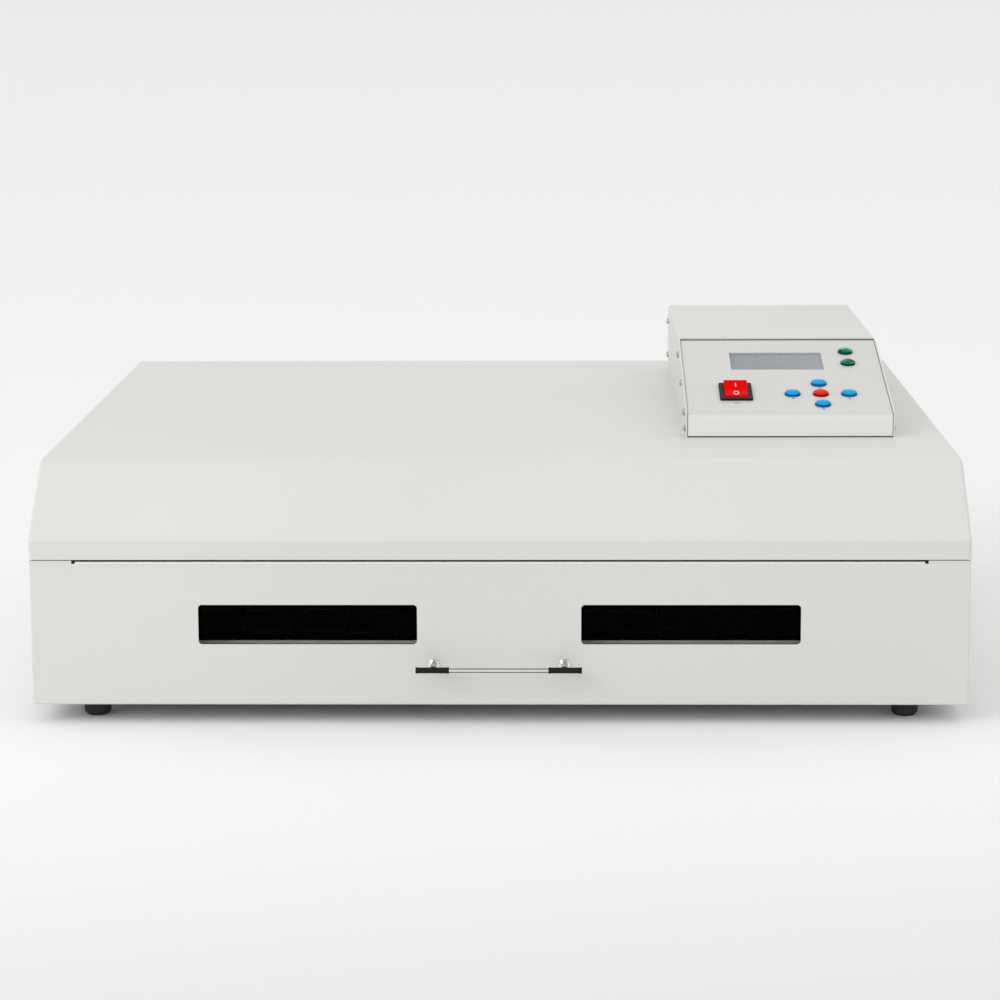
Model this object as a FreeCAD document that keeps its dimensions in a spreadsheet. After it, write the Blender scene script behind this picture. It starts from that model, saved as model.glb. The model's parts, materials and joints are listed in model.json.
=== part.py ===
# Drawer reflow oven, in millimetres.
# X runs across the front, Y from the front to the back, Z up; the origin is on the floor under the middle.
# Pieces are drawn with Y counted from the drawer front's outer face, and SETBACK then centres them.
import FreeCAD
import Part
import Sketcher
import math
import os
import re
from FreeCAD import Placement, Rotation, Vector

# Driving sizes: name, number, what it is
SIZES = {
    "sheet": (1.2, "casing sheet"),
    "body_width": (730, "base across its side walls"),
    "body_depth": (665, "drawer front to rear panel"),
    "bend_radius": (2.5, "outer radius of the casing's bends"),
    "fit_gap": (0.2, "clearance between pieces fixed to each other"),
    "foot_height": (15, "floor to base"),
    "foot_width": (23, "foot across its top"),
    "foot_taper": (1.2, "foot's loss of radius towards the floor"),
    "foot_bevel": (2.2, "bevel of the foot's lower rim"),
    "foot_inset_side": (44.5, "foot axis from the side wall"),
    "foot_inset_end": (35, "foot axis from the front and the back"),
    "tub_overlap": (13.8, "height of base wall inside the cover"),
    "vent_length": (46, "ventilation slot, long"),
    "vent_width": (4, "ventilation slot, wide"),
    "vent_pitch": (10, "from slot to slot"),
    "sill_height": (10.8, "front frame under its opening"),
    "cover_gap": (1.8, "seam between drawer front and cover"),
    "skirt_height": (16.3, "cover's upright front edge"),
    "slope_run": (66.9, "cover's front slope, level"),
    "slope_rise": (52.3, "cover's front slope, upright"),
    "top_fold_radius": (22, "fold from slope to top"),
    "skirt_fold_radius": (5, "fold from skirt to slope"),
    "side_fold_radius": (3, "cover's folds along its sides"),
    "rear_flange": (14, "rear panel's folded edge"),
    "drawer_lift": (0.2, "drawer front above the base's underside"),
    "drawer_height": (114.2, "drawer front to its folded top edge"),
    "drawer_depth": (12, "drawer front's folded edges, deep"),
    "drawer_sheet": (1.5, "drawer front's sheet"),
    "drawer_gap": (1, "drawer front's edges to the front frame"),
    "ear_width": (34.6, "end stretches of the drawer front with no folded top"),
    "ear_height": (1, "those ends above the folded edge"),
    "relief_width": (2.8, "bend relief, wide"),
    "relief_depth": (1.6, "bend relief, deep"),
    "window_width": (171, "viewing window, wide"),
    "window_height": (31.5, "viewing window, tall"),
    "window_offset": (149.5, "window's middle from the middle of the front"),
    "window_lift": (48.5, "window above the drawer front's lower edge"),
    "window_radius": (3, "window's corner radius"),
    "glass_thickness": (4, "window glass"),
    "glass_margin": (10, "glass beyond the window's edge"),
    "clip_sheet": (1, "glass clip's strip"),
    "clip_width": (12, "glass clip along the glass"),
    "clip_grip": (5, "clip over the glass"),
    "clip_foot": (8, "clip on the drawer front"),
    "clip_offset": (60, "clip from the window's middle"),
    "plug_depth": (26, "drawer's inner panel behind the outer face"),
    "plug_sheet": (1, "inner panel's sheet"),
    "plug_side_gap": (2, "inner panel to the frame's opening, sides"),
    "plug_low_gap": (1.5, "inner panel over the frame's sill"),
    "plug_top_gap": (2.6, "inner panel under the drawer front's top"),
    "plug_window_margin": (5, "inner panel's opening beyond the window"),
    "wadding_gap": (1.4, "drawer wadding inside its panel"),
    "wadding_front": (7, "wadding behind the outer face"),
    "wadding_margin": (7, "wadding's opening beyond the window"),
    "handle_standoff": (20.5, "handle bar's axis before the drawer front"),
    "handle_lift": (32.5, "handle bar above the drawer front's lower edge"),
    "handle_length": (129, "handle over its sleeves"),
    "handle_rod": (3.6, "handle bar's diameter"),
    "sleeve_length": (26, "handle sleeve"),
    "sleeve_width": (4.6, "handle sleeve's diameter"),
    "collar_width": (5, "sleeve's end rings, across"),
    "collar_length": (1.8, "sleeve's end rings, long"),
    "sleeve_end": (1.5, "sleeve's closed end"),
    "post_width": (5.8, "handle post's diameter"),
    "post_offset": (51, "handle post from the middle"),
    "rosette_width": (8.8, "post's foot, across"),
    "rosette_height": (1.6, "post's foot, deep"),
    "tray_lift": (34.8, "tray above the drawer front's lower edge"),
    "tray_height": (11, "tray rim, tall"),
    "tray_sheet": (1.5, "tray rim and ledge, thick"),
    "tray_ledge": (14, "tray ledge's inner edge from the rim's outer face"),
    "tray_rear_gap": (21.8, "tray from the chamber's back"),
    "wire_width": (3, "tray's square wires"),
    "wire_count": (13, "tray wires, front to back"),
    "cross_wire_count": (4, "tray wires, side to side"),
    "slide_rear_gap": (12, "slide's rear end from the chamber's back"),
    "slide_depth": (12, "slide's outer rail, across"),
    "slide_height": (37, "slide's outer rail, tall"),
    "slide_sheet": (1.2, "slide rails"),
    "slide_gap": (0.4, "running gap between slide rails"),
    "slide_drop": (13, "outer rail's lower edge under the tray"),
    "slide_start": (30, "slide's front end behind the outer face"),
    "liner_sheet": (0.8, "heating chamber's sheet"),
    "rear_bay": (203, "room between the chamber and the back"),
    "liner_lift": (11.8, "chamber floor above the base's"),
    "liner_rise": (2.5, "chamber roof above the cover's skirt fold"),
    "side_wool": (20, "insulation beside the chamber"),
    "side_wool_drop": (22, "side insulation under the chamber roof"),
    "roof_wool": (25, "insulation over the chamber"),
    "roof_wool_start": (58, "roof insulation behind the outer face"),
    "rear_wool": (20, "insulation behind the chamber"),
    "lamp_count": (6, "heating lamps"),
    "lamp_start": (66, "first lamp behind the outer face"),
    "lamp_rear_gap": (46, "last lamp from the chamber's back"),
    "lamp_width": (11, "lamp tube's diameter"),
    "lamp_drop": (12, "lamp axis under the chamber roof"),
    "lamp_reach": (12, "lamp tube beyond the chamber wall"),
    "lamp_hole": (13, "chamber wall's square hole for a lamp"),
    "ceramic_body": (18, "lamp end's ceramic block, square"),
    "ceramic_length": (18, "ceramic block outside the chamber"),
    "reflector_sheet": (0.6, "reflector"),
    "reflector_rise": (5, "reflector's ridges"),
    "reflector_flat": (40, "reflector's flat over a lamp"),
    "probe_width": (3, "temperature probe's diameter"),
    "probe_offset": (100, "probe from the middle"),
    "probe_lift": (50, "probe above the chamber floor"),
    "probe_reach": (16, "probe inside the chamber"),
    "gland_width": (11, "probe's gland nut, across corners"),
    "gland_depth": (6, "probe's gland nut, thick"),
    "fan_size": (92, "exhaust fan's square frame"),
    "fan_depth": (25, "exhaust fan, deep"),
    "fan_offset": (180, "fan axis from the middle"),
    "fan_lift": (72, "fan axis above the chamber floor"),
    "fan_wall": (2, "fan frame's wall beside its bore"),
    "fan_edge": (4.75, "fan's screws from its frame's edges"),
    "fan_hub": (34, "fan's hub, across"),
    "fan_strut": (4, "fan's struts, wide"),
    "fan_shaft": (3, "fan's shaft"),
    "shaft_gap": (0.05, "running clearance round shafts and pins"),
    "rotor_gap": (3, "rotor from the ends of the fan's frame"),
    "blade_count": (7, "fan blades"),
    "blade_tip_gap": (2.5, "blade's end to the bore, along its middle"),
    "blade_chord": (20, "fan blade's width"),
    "blade_pitch": (34, "blade's slant, degrees"),
    "guard_wire": (1.8, "fan guard's bars, wide and thick"),
    "guard_ring_pitch": (15, "from ring to ring of the guard"),
    "guard_ring_count": (2, "rings of the guard"),
    "duct_sheet": (0.8, "exhaust duct"),
    "duct_width": (86, "exhaust duct's square bore"),
    "duct_flange": (102, "exhaust duct's flange, across"),
    "inlet_inset": (65, "mains inlet's middle from the side wall"),
    "inlet_lift": (45, "mains inlet's middle above the base's underside"),
    "inlet_width": (50, "mains inlet's flange, wide"),
    "inlet_height": (29, "mains inlet's flange, tall"),
    "inlet_flange": (2, "mains inlet's flange, thick"),
    "inlet_depth": (24, "mains inlet behind its flange"),
    "socket_width": (28.6, "mains inlet's socket, wide"),
    "socket_height": (20.6, "mains inlet's socket, tall"),
    "socket_depth": (19, "mains inlet's socket, deep"),
    "socket_wall": (1.6, "mains inlet's wall"),
    "inlet_screw_pitch": (40, "mains inlet's screws apart"),
    "blade_pin_width": (8, "inlet pin, wide"),
    "blade_pin_thickness": (2, "inlet pin, thick"),
    "blade_pin_pitch": (13, "line pins apart"),
    "blade_pin_rise": (8, "earth pin above the line pins"),
    "board_sheet": (1.6, "circuit boards"),
    "board_standoff": (12.8, "circuit boards from what carries them"),
    "standoff_width": (6, "board spacer across its corners"),
    "board_width": (170, "power board, wide"),
    "board_depth": (110, "power board, front to back"),
    "board_rear_gap": (40, "power board from the rear panel"),
    "board_hole_inset": (6, "board spacers from the board's edges"),
    "sink_width": (64, "heat sink, wide"),
    "sink_depth": (80, "heat sink, front to back"),
    "sink_height": (32, "heat sink, tall"),
    "sink_base": (5, "heat sink's base"),
    "fin_count": (9, "heat sink's fins"),
    "fin_sheet": (2, "heat sink's fin"),
    "transformer_size": (44, "transformer, wide and deep"),
    "transformer_height": (36, "transformer, tall"),
    "terminal_length": (70, "terminal block, long"),
    "terminal_depth": (18, "terminal block, deep"),
    "terminal_height": (20, "terminal block, tall"),
    "console_width": (172.4, "control console, wide"),
    "console_inset": (42.2, "console from the cover's side"),
    "console_front": (175.3, "console's lip behind the outer face"),
    "console_rear_gap": (60, "console's back from the oven's"),
    "lip_height": (20.7, "console's upright lip"),
    "panel_slope": (13.3, "control panel's slope, degrees"),
    "panel_length": (176.8, "control panel up its slope"),
    "panel_gap": (1.8, "seam above the control panel"),
    "panel_sink": (1.5, "control panel under the console's edges"),
    "panel_side_gap": (0.5, "control panel to the console's sides"),
    "lip_gap": (1, "control panel's lip above the cover"),
    "panel_return": (16, "control panel's folded edges"),
    "console_flange": (12, "console's inner foot along its sides"),
    "console_screw_depth": (11.4, "screws from the outer face they hold"),
    "slope_screw_start": (30, "first screw up the slope"),
    "slope_screw_pitch": (68, "from screw to screw up the slope"),
    "lip_screw_lift": (6.2, "lip's screw above the cover"),
    "rear_screw_low": (15.5, "console's lower rear screw above the cover"),
    "rear_screw_pitch": (32, "console's rear screws apart"),
    "display_width": (79.4, "display opening, wide"),
    "display_height": (42, "display opening, tall"),
    "display_across": (-3.9, "display's middle from the console's"),
    "display_along": (124.2, "display's middle up the slope"),
    "display_margin": (3, "display beyond its opening"),
    "display_glass": (2, "display window"),
    "display_board_margin": (7, "display's board beyond its window"),
    "switch_width": (27.4, "power switch's bezel, wide"),
    "switch_length": (36.6, "power switch's bezel, tall"),
    "switch_across": (-42.7, "power switch from the console's middle"),
    "switch_along": (48.8, "power switch up the slope"),
    "bezel_height": (2, "power switch's bezel, proud"),
    "bezel_rim": (1.3, "bezel beyond the switch's body"),
    "switch_depth": (17, "power switch's body behind the panel"),
    "switch_well": (13, "power switch's well, deep"),
    "rocker_width": (19.4, "rocker, wide"),
    "rocker_radius": (14.6, "rocker's ends from its pivot"),
    "rocker_gap": (0.4, "rocker in its well"),
    "rocker_crest": (8.4, "rocker's ends above its pivot"),
    "rocker_valley": (6.9, "rocker's middle above its pivot"),
    "rocker_tilt": (11.5, "rocker's tilt each way, degrees"),
    "rocker_pivot": (3, "rocker's pivot behind the panel's face"),
    "rocker_pin": (3, "rocker's pin"),
    "tab_width": (6.3, "switch terminal, wide"),
    "tab_thickness": (0.8, "switch terminal, thick"),
    "tab_length": (7, "switch terminal, long"),
    "key_width": (13, "push button, across"),
    "key_rim": (2, "push button's upright rim"),
    "key_height": (4.2, "push button at its crown"),
    "key_gap": (0.35, "push button in its hole"),
    "key_pitch": (23.7, "from push button to push button"),
    "key_across": (28.5, "middle push button from the console's middle"),
    "key_along": (45.2, "middle push button up the slope"),
    "key_flange": (1.6, "push button's flange beyond its rim"),
    "key_stem": (5, "push button's stem, across"),
    "key_travel": (1.2, "push button's travel"),
    "tact_size": (6, "switch under a push button, square"),
    "tact_height": (3.5, "switch under a push button, tall"),
    "tact_plunger": (3.5, "that switch's square plunger"),
    "tact_plunger_height": (1.5, "that switch's plunger, tall"),
    "beacon_width": (12.8, "indicator lamp's lens, across"),
    "beacon_height": (3.6, "indicator lamp's lens, proud"),
    "beacon_shank": (9.4, "indicator lamp's body, across"),
    "beacon_depth": (11, "indicator lamp's body behind the panel"),
    "beacon_across": (57.2, "indicator lamps from the console's middle"),
    "beacon_along": (144.9, "upper indicator lamp up the slope"),
    "beacon_pitch": (27.5, "indicator lamps apart"),
    "grommet_hole": (22, "cover's square cable hole"),
    "grommet_wall": (2, "cable grommet"),
    "grommet_lip": (3, "cable grommet beyond its hole"),
    "grommet_rear_gap": (60, "cable hole from the console's back"),
    "bolt_head": (7.6, "casing screw's head, across"),
    "bolt_head_height": (2.4, "casing screw's head, tall"),
    "screw_head": (5.8, "console screw's head, across"),
    "screw_head_height": (2, "console screw's head, tall"),
}

# Levels and faces that pieces share
BODY_SIDE = "(body_width / 2)"
TUB_INSIDE = f"({BODY_SIDE} - sheet)"
COVER_INSIDE = f"({BODY_SIDE} + fit_gap)"
COVER_SIDE = f"({COVER_INSIDE} + sheet)"
FRONT_SIDE = f"({COVER_SIDE} - fit_gap)"
BASE_FLOOR = "(foot_height + sheet)"
DRAWER_LOW = "(foot_height + drawer_lift)"
DRAWER_TOP = f"({DRAWER_LOW} + drawer_height)"
COVER_LOW = f"({DRAWER_TOP} + cover_gap)"
SKIRT_TOP = f"({COVER_LOW} + skirt_height)"
COVER_TOP = f"({SKIRT_TOP} + slope_rise)"
TUB_TOP = f"({COVER_LOW} + tub_overlap)"
FRAME_FRONT = "(drawer_depth + drawer_gap)"
FRAME_BACK = f"({FRAME_FRONT} + sheet)"
FRAME_OPEN = f"({BODY_SIDE} - ear_width)"
FRAME_SILL = f"({BASE_FLOOR} + sill_height)"
LINER_SIDE = f"({FRAME_OPEN} - liner_sheet)"
LINER_FLOOR = f"({BASE_FLOOR} + liner_lift)"
LINER_ROOF = f"({SKIRT_TOP} + liner_rise)"
LINER_FRONT = f"({FRAME_BACK} + fit_gap)"
LINER_BACK = "(body_depth - rear_bay)"
PLUG_SIDE = f"({FRAME_OPEN} - plug_side_gap)"
PLUG_LOW = f"({FRAME_SILL} + plug_low_gap)"
PLUG_TOP = f"({DRAWER_TOP} - plug_top_gap)"
WINDOW_LOW = f"({DRAWER_LOW} + window_lift)"
WINDOW_MIDDLE = f"({WINDOW_LOW} + window_height / 2)"
HANDLE_LEVEL = f"({DRAWER_LOW} + handle_lift)"
TRAY_LOW = f"({DRAWER_LOW} + tray_lift)"
TRAY_TOP = f"({TRAY_LOW} + tray_height)"
TRAY_LEDGE_TOP = f"({TRAY_LOW} + tray_sheet)"
TRAY_FRONT = "(plug_depth + fit_gap)"
TRAY_BACK = f"({LINER_BACK} - tray_rear_gap)"
TRAY_DEPTH = f"({TRAY_BACK} - {TRAY_FRONT})"
RAIL_OUTSIDE = f"({LINER_SIDE} - fit_gap)"
RAIL_INSIDE = f"({RAIL_OUTSIDE} - slide_depth - slide_gap)"
TRAY_SIDE = f"({RAIL_INSIDE} - slide_gap)"
RAIL_LENGTH = f"({LINER_BACK} - slide_rear_gap - slide_start)"
RAIL_LOW = f"({TRAY_LOW} - slide_drop)"
RAIL_TOP = f"({RAIL_LOW} + slide_height)"
LAMP_LEVEL = f"({LINER_ROOF} - lamp_drop)"
LAMP_PITCH = f"(({LINER_BACK} - lamp_start - lamp_rear_gap) / (lamp_count - 1))"
LAMP_END = f"({FRAME_OPEN} + lamp_reach)"
PROBE_LEVEL = f"({LINER_FLOOR} + probe_lift)"
FAN_LEVEL = f"({LINER_FLOOR} + fan_lift)"
FAN_PITCH = "(fan_size - 2 * fan_edge)"
FAN_BORE = "(fan_size - 2 * fan_wall)"
REAR_INSIDE = "(body_depth - sheet)"
FAN_FRONT = f"({REAR_INSIDE} - fit_gap - fan_depth)"
GUARD_AXIS = "(body_depth + guard_wire / 2)"
INLET_AT = f"({BODY_SIDE} - inlet_inset)"
INLET_LEVEL = "(foot_height + inlet_lift)"
COVER_SCREW_LEVEL = f"({COVER_LOW} + tub_overlap / 2)"
REAR_SCREW_AT = "(body_depth - rear_flange / 2)"
LIP_TOP = f"({COVER_TOP} + lip_height)"
CONSOLE_AT = f"({COVER_SIDE} - console_inset - console_width / 2)"
CONSOLE_REAR = "(body_depth - console_rear_gap)"
PANEL_BACK = "(console_front + panel_length * cos(panel_slope))"
CONSOLE_TOP = f"({LIP_TOP} + panel_length * sin(panel_slope))"
CONSOLE_INSIDE = "(console_width / 2 - sheet)"
PANEL_SIDE = f"({CONSOLE_INSIDE} - panel_side_gap)"
BOARD_FACE = "(-sheet - board_standoff)"
HANDLE_REACH = "(handle_standoff + collar_width / 2)"
REAR_REACH = "(guard_wire + bolt_head_height)"
SETBACK = f"(({HANDLE_REACH} - body_depth - {REAR_REACH}) / 2)"

TURNS = {
    "+x": Rotation(Vector(0, 1, 0), 90),
    "-x": Rotation(Vector(0, 1, 0), -90),
    "+y": Rotation(Vector(1, 0, 0), -90),
    "-y": Rotation(Vector(1, 0, 0), 90),
    "+z": Rotation(),
    "-z": Rotation(Vector(1, 0, 0), 180),
}
HALF_TURN = Rotation(Vector(0, 0, 1), 180)
NAME = re.compile(r"[a-z]\w*")

doc = FreeCAD.newDocument("reflow_oven")
sizes = doc.addObject("Spreadsheet::Sheet", "Sizes")
pieces = []


# Sheet and expressions
def fill_sheet():
    """Write each driving size into the sheet, with its words beside it."""
    for row, (name, (number, words)) in enumerate(SIZES.items(), 1):
        sizes.set(f"A{row}", words)
        sizes.set(f"B{row}", str(number))
        sizes.setAlias(f"B{row}", name)
    doc.recompute()


def bound(text):
    """Point each named size in an expression at its cell."""
    def at_cell(word):
        name = word.group()
        return f"Sizes.{name}" if name in SIZES else name
    return NAME.sub(at_cell, str(text))


def number(text):
    """What an expression gives with the sheet's present sizes."""
    return float(sizes.evalExpression(bound(text)))


def count(text):
    """A whole number from the sheet."""
    return int(round(number(text)))


def minus(text):
    return f"(-{text})"


def bind(thing, **expressions):
    for name, text in expressions.items():
        thing.setExpression(name, bound(text))


def place(thing, x="0", y="0", z="0", turn=None):
    """Put an object at a bound position, turned as one of TURNS or any rotation."""
    thing.Placement = Placement(Vector(), turn or Rotation())
    for axis, text in zip("xyz", (x, y, z)):
        thing.setExpression(f"Placement.Base.{axis}", bound(text))


def on_panel(thing, across, along, height="0", tilt="0", setback=SETBACK):
    """Put an object on the sloping control panel, with its own Z square to the panel."""
    thing.Placement = Placement(Vector(), Rotation(Vector(1, 0, 0), 10))
    slope = "panel_slope"
    level = f"({height} - panel_sink)"
    spots = {
        "x": f"{CONSOLE_AT} + {across}",
        "y": f"{setback} + console_front + ({along}) * cos({slope}) - {level} * sin({slope})",
        "z": f"{LIP_TOP} + ({along}) * sin({slope}) + {level} * cos({slope})",
    }
    for axis, text in spots.items():
        thing.setExpression(f"Placement.Base.{axis}", bound(text))
    thing.setExpression("Placement.Rotation.Angle", bound(f"{slope} + {tilt}"))


# Primitives and booleans
def block(x, y, z):
    """Box between three pairs of expressions."""
    made = doc.addObject("Part::Box", "block")
    for side, (low, high) in zip(("Length", "Width", "Height"), (x, y, z)):
        made.setExpression(side, bound(f"({high}) - ({low})"))
    place(made, x[0], y[0], z[0])
    return made


def rod(axis, across, along, width):
    """Cylinder of a given diameter along X, Y or Z; across gives the other two coordinates in order."""
    made = doc.addObject("Part::Cylinder", "rod")
    bind(made, Radius=f"({width}) / 2", Height=f"({along[1]}) - ({along[0]})")
    spot = list(across)
    spot.insert("xyz".index(axis), along[0])
    place(made, *spot, turn=TURNS["+" + axis])
    return made


def joined(parts, kind="Part::MultiFuse"):
    if len(parts) == 1:
        return parts[0]
    made = doc.addObject(kind, "joined")
    if kind == "Part::Compound":
        made.Links = parts
    else:
        made.Shapes = parts
    return made


def cut(base, *tools):
    made = doc.addObject("Part::Cut", "trimmed")
    made.Base = base
    made.Tool = joined(list(tools))
    return made


def copies(master, spots):
    """Links to one master piece, each at (x, y, z, turn)."""
    links = []
    for x, y, z, turn in spots:
        link = doc.addObject("App::Link", "copy")
        link.LinkedObject = master
        place(link, x, y, z, turn)
        links.append(link)
    return links


def keep(name, *things, placed=False):
    """Name a finished sub-part and move it to the shared origin, unless it is placed already."""
    piece = things[0]
    if len(things) > 1 or piece.TypeId in ("Part::Box", "Part::Cylinder", "App::Link"):
        piece = doc.addObject("Part::Compound", "group")
        piece.Links = list(things)
    piece.Label = name
    if not placed:
        place(piece, y=SETBACK)
    pieces.append(piece)
    return piece


# Sketches and features
def new_body(name):
    return doc.addObject("PartDesign::Body", name)


def origin(body, role):
    return next(thing for thing in body.Origin.OriginFeatures if thing.Role == role)


def rounded(x, y, radius):
    """Closed outline of a rectangle with quarter-round corners."""
    (left, right), (low, high) = x, y
    return [
        (f"({left}) + {radius}", low), (f"({right}) - {radius}", low, radius),
        (right, f"({low}) + {radius}"), (right, f"({high}) - {radius}", radius),
        (f"({right}) - {radius}", high), (f"({left}) + {radius}", high, radius),
        (left, f"({high}) - {radius}"), (left, f"({low}) + {radius}", radius),
    ]


def rectangle(x, y):
    return [(x[0], y[0]), (x[1], y[0]), (x[1], y[1]), (x[0], y[1])]


def square(half, x="0", y="0"):
    """Outline of a square round a point."""
    return rectangle((f"{x} - {half}", f"{x} + {half}"), (f"{y} - {half}", f"{y} + {half}"))


def crown(half, low, top):
    """Rounded top of a turned piece, from its rim to its axis, in two slanted steps and a flat."""
    rise = f"({top} - {low})"
    return [(half, low), (f"{half} * 0.78", f"{low} + {rise} * 0.5"),
            (f"{half} * 0.45", f"{low} + {rise} * 0.9"), ("0", top)]


def arc_between(start, end, radius):
    """Arc from start to end, under a half turn; a positive radius bulges to the right of the way."""
    size = abs(radius)
    step = end - start
    rise = math.sqrt(max(size ** 2 - (step.Length / 2) ** 2, 0))
    side = Vector(-step.y, step.x, 0).normalize() * math.copysign(rise, radius)
    centre = (start + end) / 2 + side
    angles = [math.atan2(point.y - centre.y, point.x - centre.x) for point in (start, end)]
    if radius < 0:
        angles.reverse()
    return Part.ArcOfCircle(Part.Circle(centre, Vector(0, 0, 1), size), *angles)


def draw_loop(sketch, loop):
    """Draw one closed outline: points (x, y), or (x, y, radius) where an arc leads to the next point."""
    spots = [Vector(number(point[0]), number(point[1]), 0) for point in loop]
    first = sketch.GeometryCount
    heads = []
    tails = []
    for index, point in enumerate(loop):
        start = spots[index]
        end = spots[(index + 1) % len(loop)]
        turned = len(point) == 3 and number(point[2]) < 0
        if len(point) == 3:
            sketch.addGeometry(arc_between(start, end, number(point[2])), False)
        else:
            sketch.addGeometry(Part.LineSegment(start, end), False)
        heads.append(2 if turned else 1)
        tails.append(1 if turned else 2)
    for index in range(len(loop)):
        following = (index + 1) % len(loop)
        ends = (first + index, tails[index], first + following, heads[following])
        sketch.addConstraint(Sketcher.Constraint("Coincident", *ends))
    for index, point in enumerate(loop):
        corner = (-1, 1, first + index, heads[index])
        limit(sketch, "DistanceX", corner, point[0])
        limit(sketch, "DistanceY", corner, point[1])
        if len(point) == 3:
            limit(sketch, "Radius", (first + index,), f"abs({point[2]})")


def draw_circle(sketch, x, y, width):
    spot = Vector(number(x), number(y), 0)
    index = sketch.addGeometry(Part.Circle(spot, Vector(0, 0, 1), number(width) / 2), False)
    limit(sketch, "DistanceX", (-1, 1, index, 3), x)
    limit(sketch, "DistanceY", (-1, 1, index, 3), y)
    limit(sketch, "Radius", (index,), f"({width}) / 2")


def limit(sketch, kind, targets, text):
    """Constrain a sketch with a size bound to the sheet."""
    index = sketch.addConstraint(Sketcher.Constraint(kind, *targets, number(text)))
    sketch.setExpression(f"Constraints[{index}]", bound(text))


def sketched(body, role, loops=(), circles=(), lift="0"):
    """Sketch on one of a body's origin planes, lifted along the plane's normal."""
    made = body.newObject("Sketcher::SketchObject", "outline")
    made.AttachmentSupport = [(origin(body, role), "")]
    made.MapMode = "FlatFace"
    made.setExpression("AttachmentOffset.Base.z", bound(lift))
    for loop in loops:
        draw_loop(made, loop)
    for circle in circles:
        draw_circle(made, *circle)
    return made


def pad(body, profile, length, middle=False, back=False):
    made = body.newObject("PartDesign::Pad", "pad")
    made.Profile = profile
    made.SideType = "Symmetric" if middle else "One side"
    made.Reversed = back
    bind(made, Length=length)
    return made


def pocket(body, profile, depth, middle=False, back=False):
    """Cut a sketch into a body, and make sure that it takes something away."""
    doc.recompute()
    before = body.Shape.Volume
    made = body.newObject("PartDesign::Pocket", "pocket")
    made.Profile = profile
    made.SideType = "Symmetric" if middle else "One side"
    made.Reversed = back
    bind(made, Length=depth)
    doc.recompute()
    if body.Shape.Volume >= before:
        raise ValueError(f"a pocket of {body.Label} cuts nothing")
    return made


def revolve(body, profile, role="Z_Axis"):
    made = body.newObject("PartDesign::Revolution", "revolution")
    made.Profile = profile
    made.ReferenceAxis = (origin(body, role), [""])
    made.Angle = 360
    return made


def near(one, other):
    return abs(one - other) < 0.01


def fillet(body, radius, chosen):
    """Round the edges of a body that a test picks out."""
    doc.recompute()
    base = body.Tip
    names = [f"Edge{index}" for index, edge in enumerate(base.Shape.Edges, 1) if chosen(edge)]
    made = body.newObject("PartDesign::Fillet", "rounding")
    made.Base = (base, names)
    bind(made, Radius=radius)
    return made


def runs_along(edge, axis):
    """Whether an edge is straight and parallel to an axis."""
    box = edge.BoundBox
    lengths = {"x": box.XLength, "y": box.YLength, "z": box.ZLength}
    others = sum(length for name, length in lengths.items() if name != axis)
    return lengths[axis] > 0.01 and others < 0.001


def vent_outline(middle, low):
    """Outline of one air slot."""
    return rectangle((f"{middle} - vent_length / 2", f"{middle} + vent_length / 2"),
                     (low, f"{low} + vent_width"))


def row(body, feature, role, length, copies_text, back=False):
    """Repeat a feature in a straight row along one of the body's axes."""
    made = body.newObject("PartDesign::LinearPattern", "row")
    made.Originals = [feature]
    made.Direction = (origin(body, role), [""])
    made.Reversed = back
    bind(made, Length=length, Occurrences=copies_text)
    body.Tip = made
    return made


def polar(body, feature, copies_text):
    made = body.newObject("PartDesign::PolarPattern", "ring")
    made.Originals = [feature]
    made.Axis = (origin(body, "Z_Axis"), [""])
    made.Angle = 360
    bind(made, Occurrences=copies_text)
    body.Tip = made
    return made


def screw_head(kind, sides):
    """Screw head with its underside at the origin."""
    made = doc.addObject("Part::Prism", "screw_head")
    made.Polygon = sides
    bind(made, Circumradius=f"{kind}_head / 2", Height=f"{kind}_head_height")
    return made


# Casing
def base_tub():
    """Folded floor and side walls of the base, with air slots at the back."""
    body = new_body("tub")
    profile = sketched(body, "XZ_Plane", [[
        (minus(BODY_SIDE), "foot_height"), (BODY_SIDE, "foot_height"),
        (BODY_SIDE, TUB_TOP), (TUB_INSIDE, TUB_TOP),
        (TUB_INSIDE, BASE_FLOOR), (minus(TUB_INSIDE), BASE_FLOOR),
        (minus(TUB_INSIDE), TUB_TOP), (minus(BODY_SIDE), TUB_TOP),
    ]], lift=minus(FRAME_FRONT))
    pad(body, profile, f"body_depth - {FRAME_FRONT}", back=True)
    for level, radius in (("foot_height", "bend_radius"), (BASE_FLOOR, "bend_radius - sheet")):
        height = number(level)
        fillet(body, radius, lambda edge: runs_along(edge, "y") and near(edge.CenterOfMass.z, height))
    back = "(body_depth - 2 * rear_flange)"
    slots = [vent_outline(f"({side} * fan_offset)", f"({back} - vent_width)") for side in (-1, 1)]
    first = pocket(body, sketched(body, "XY_Plane", slots, lift="foot_height"), "2 * sheet", back=True)
    row(body, first, "Y_Axis", "4 * vent_pitch", "5", back=True)
    keep("base_tub", body)


def front_frame():
    """Flat frame welded into the front of the base, round the drawer's opening."""
    body = new_body("front_frame")
    outside = f"({TUB_INSIDE} - fit_gap)"
    profile = sketched(body, "XZ_Plane", [
        rounded((minus(outside), outside), (f"{BASE_FLOOR} + fit_gap", TUB_TOP), "bend_radius"),
        rectangle((minus(FRAME_OPEN), FRAME_OPEN), (FRAME_SILL, f"{COVER_LOW} + fit_gap")),
    ], lift=minus(FRAME_FRONT))
    pad(body, profile, "sheet", back=True)
    keep("front_frame", body)


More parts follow.
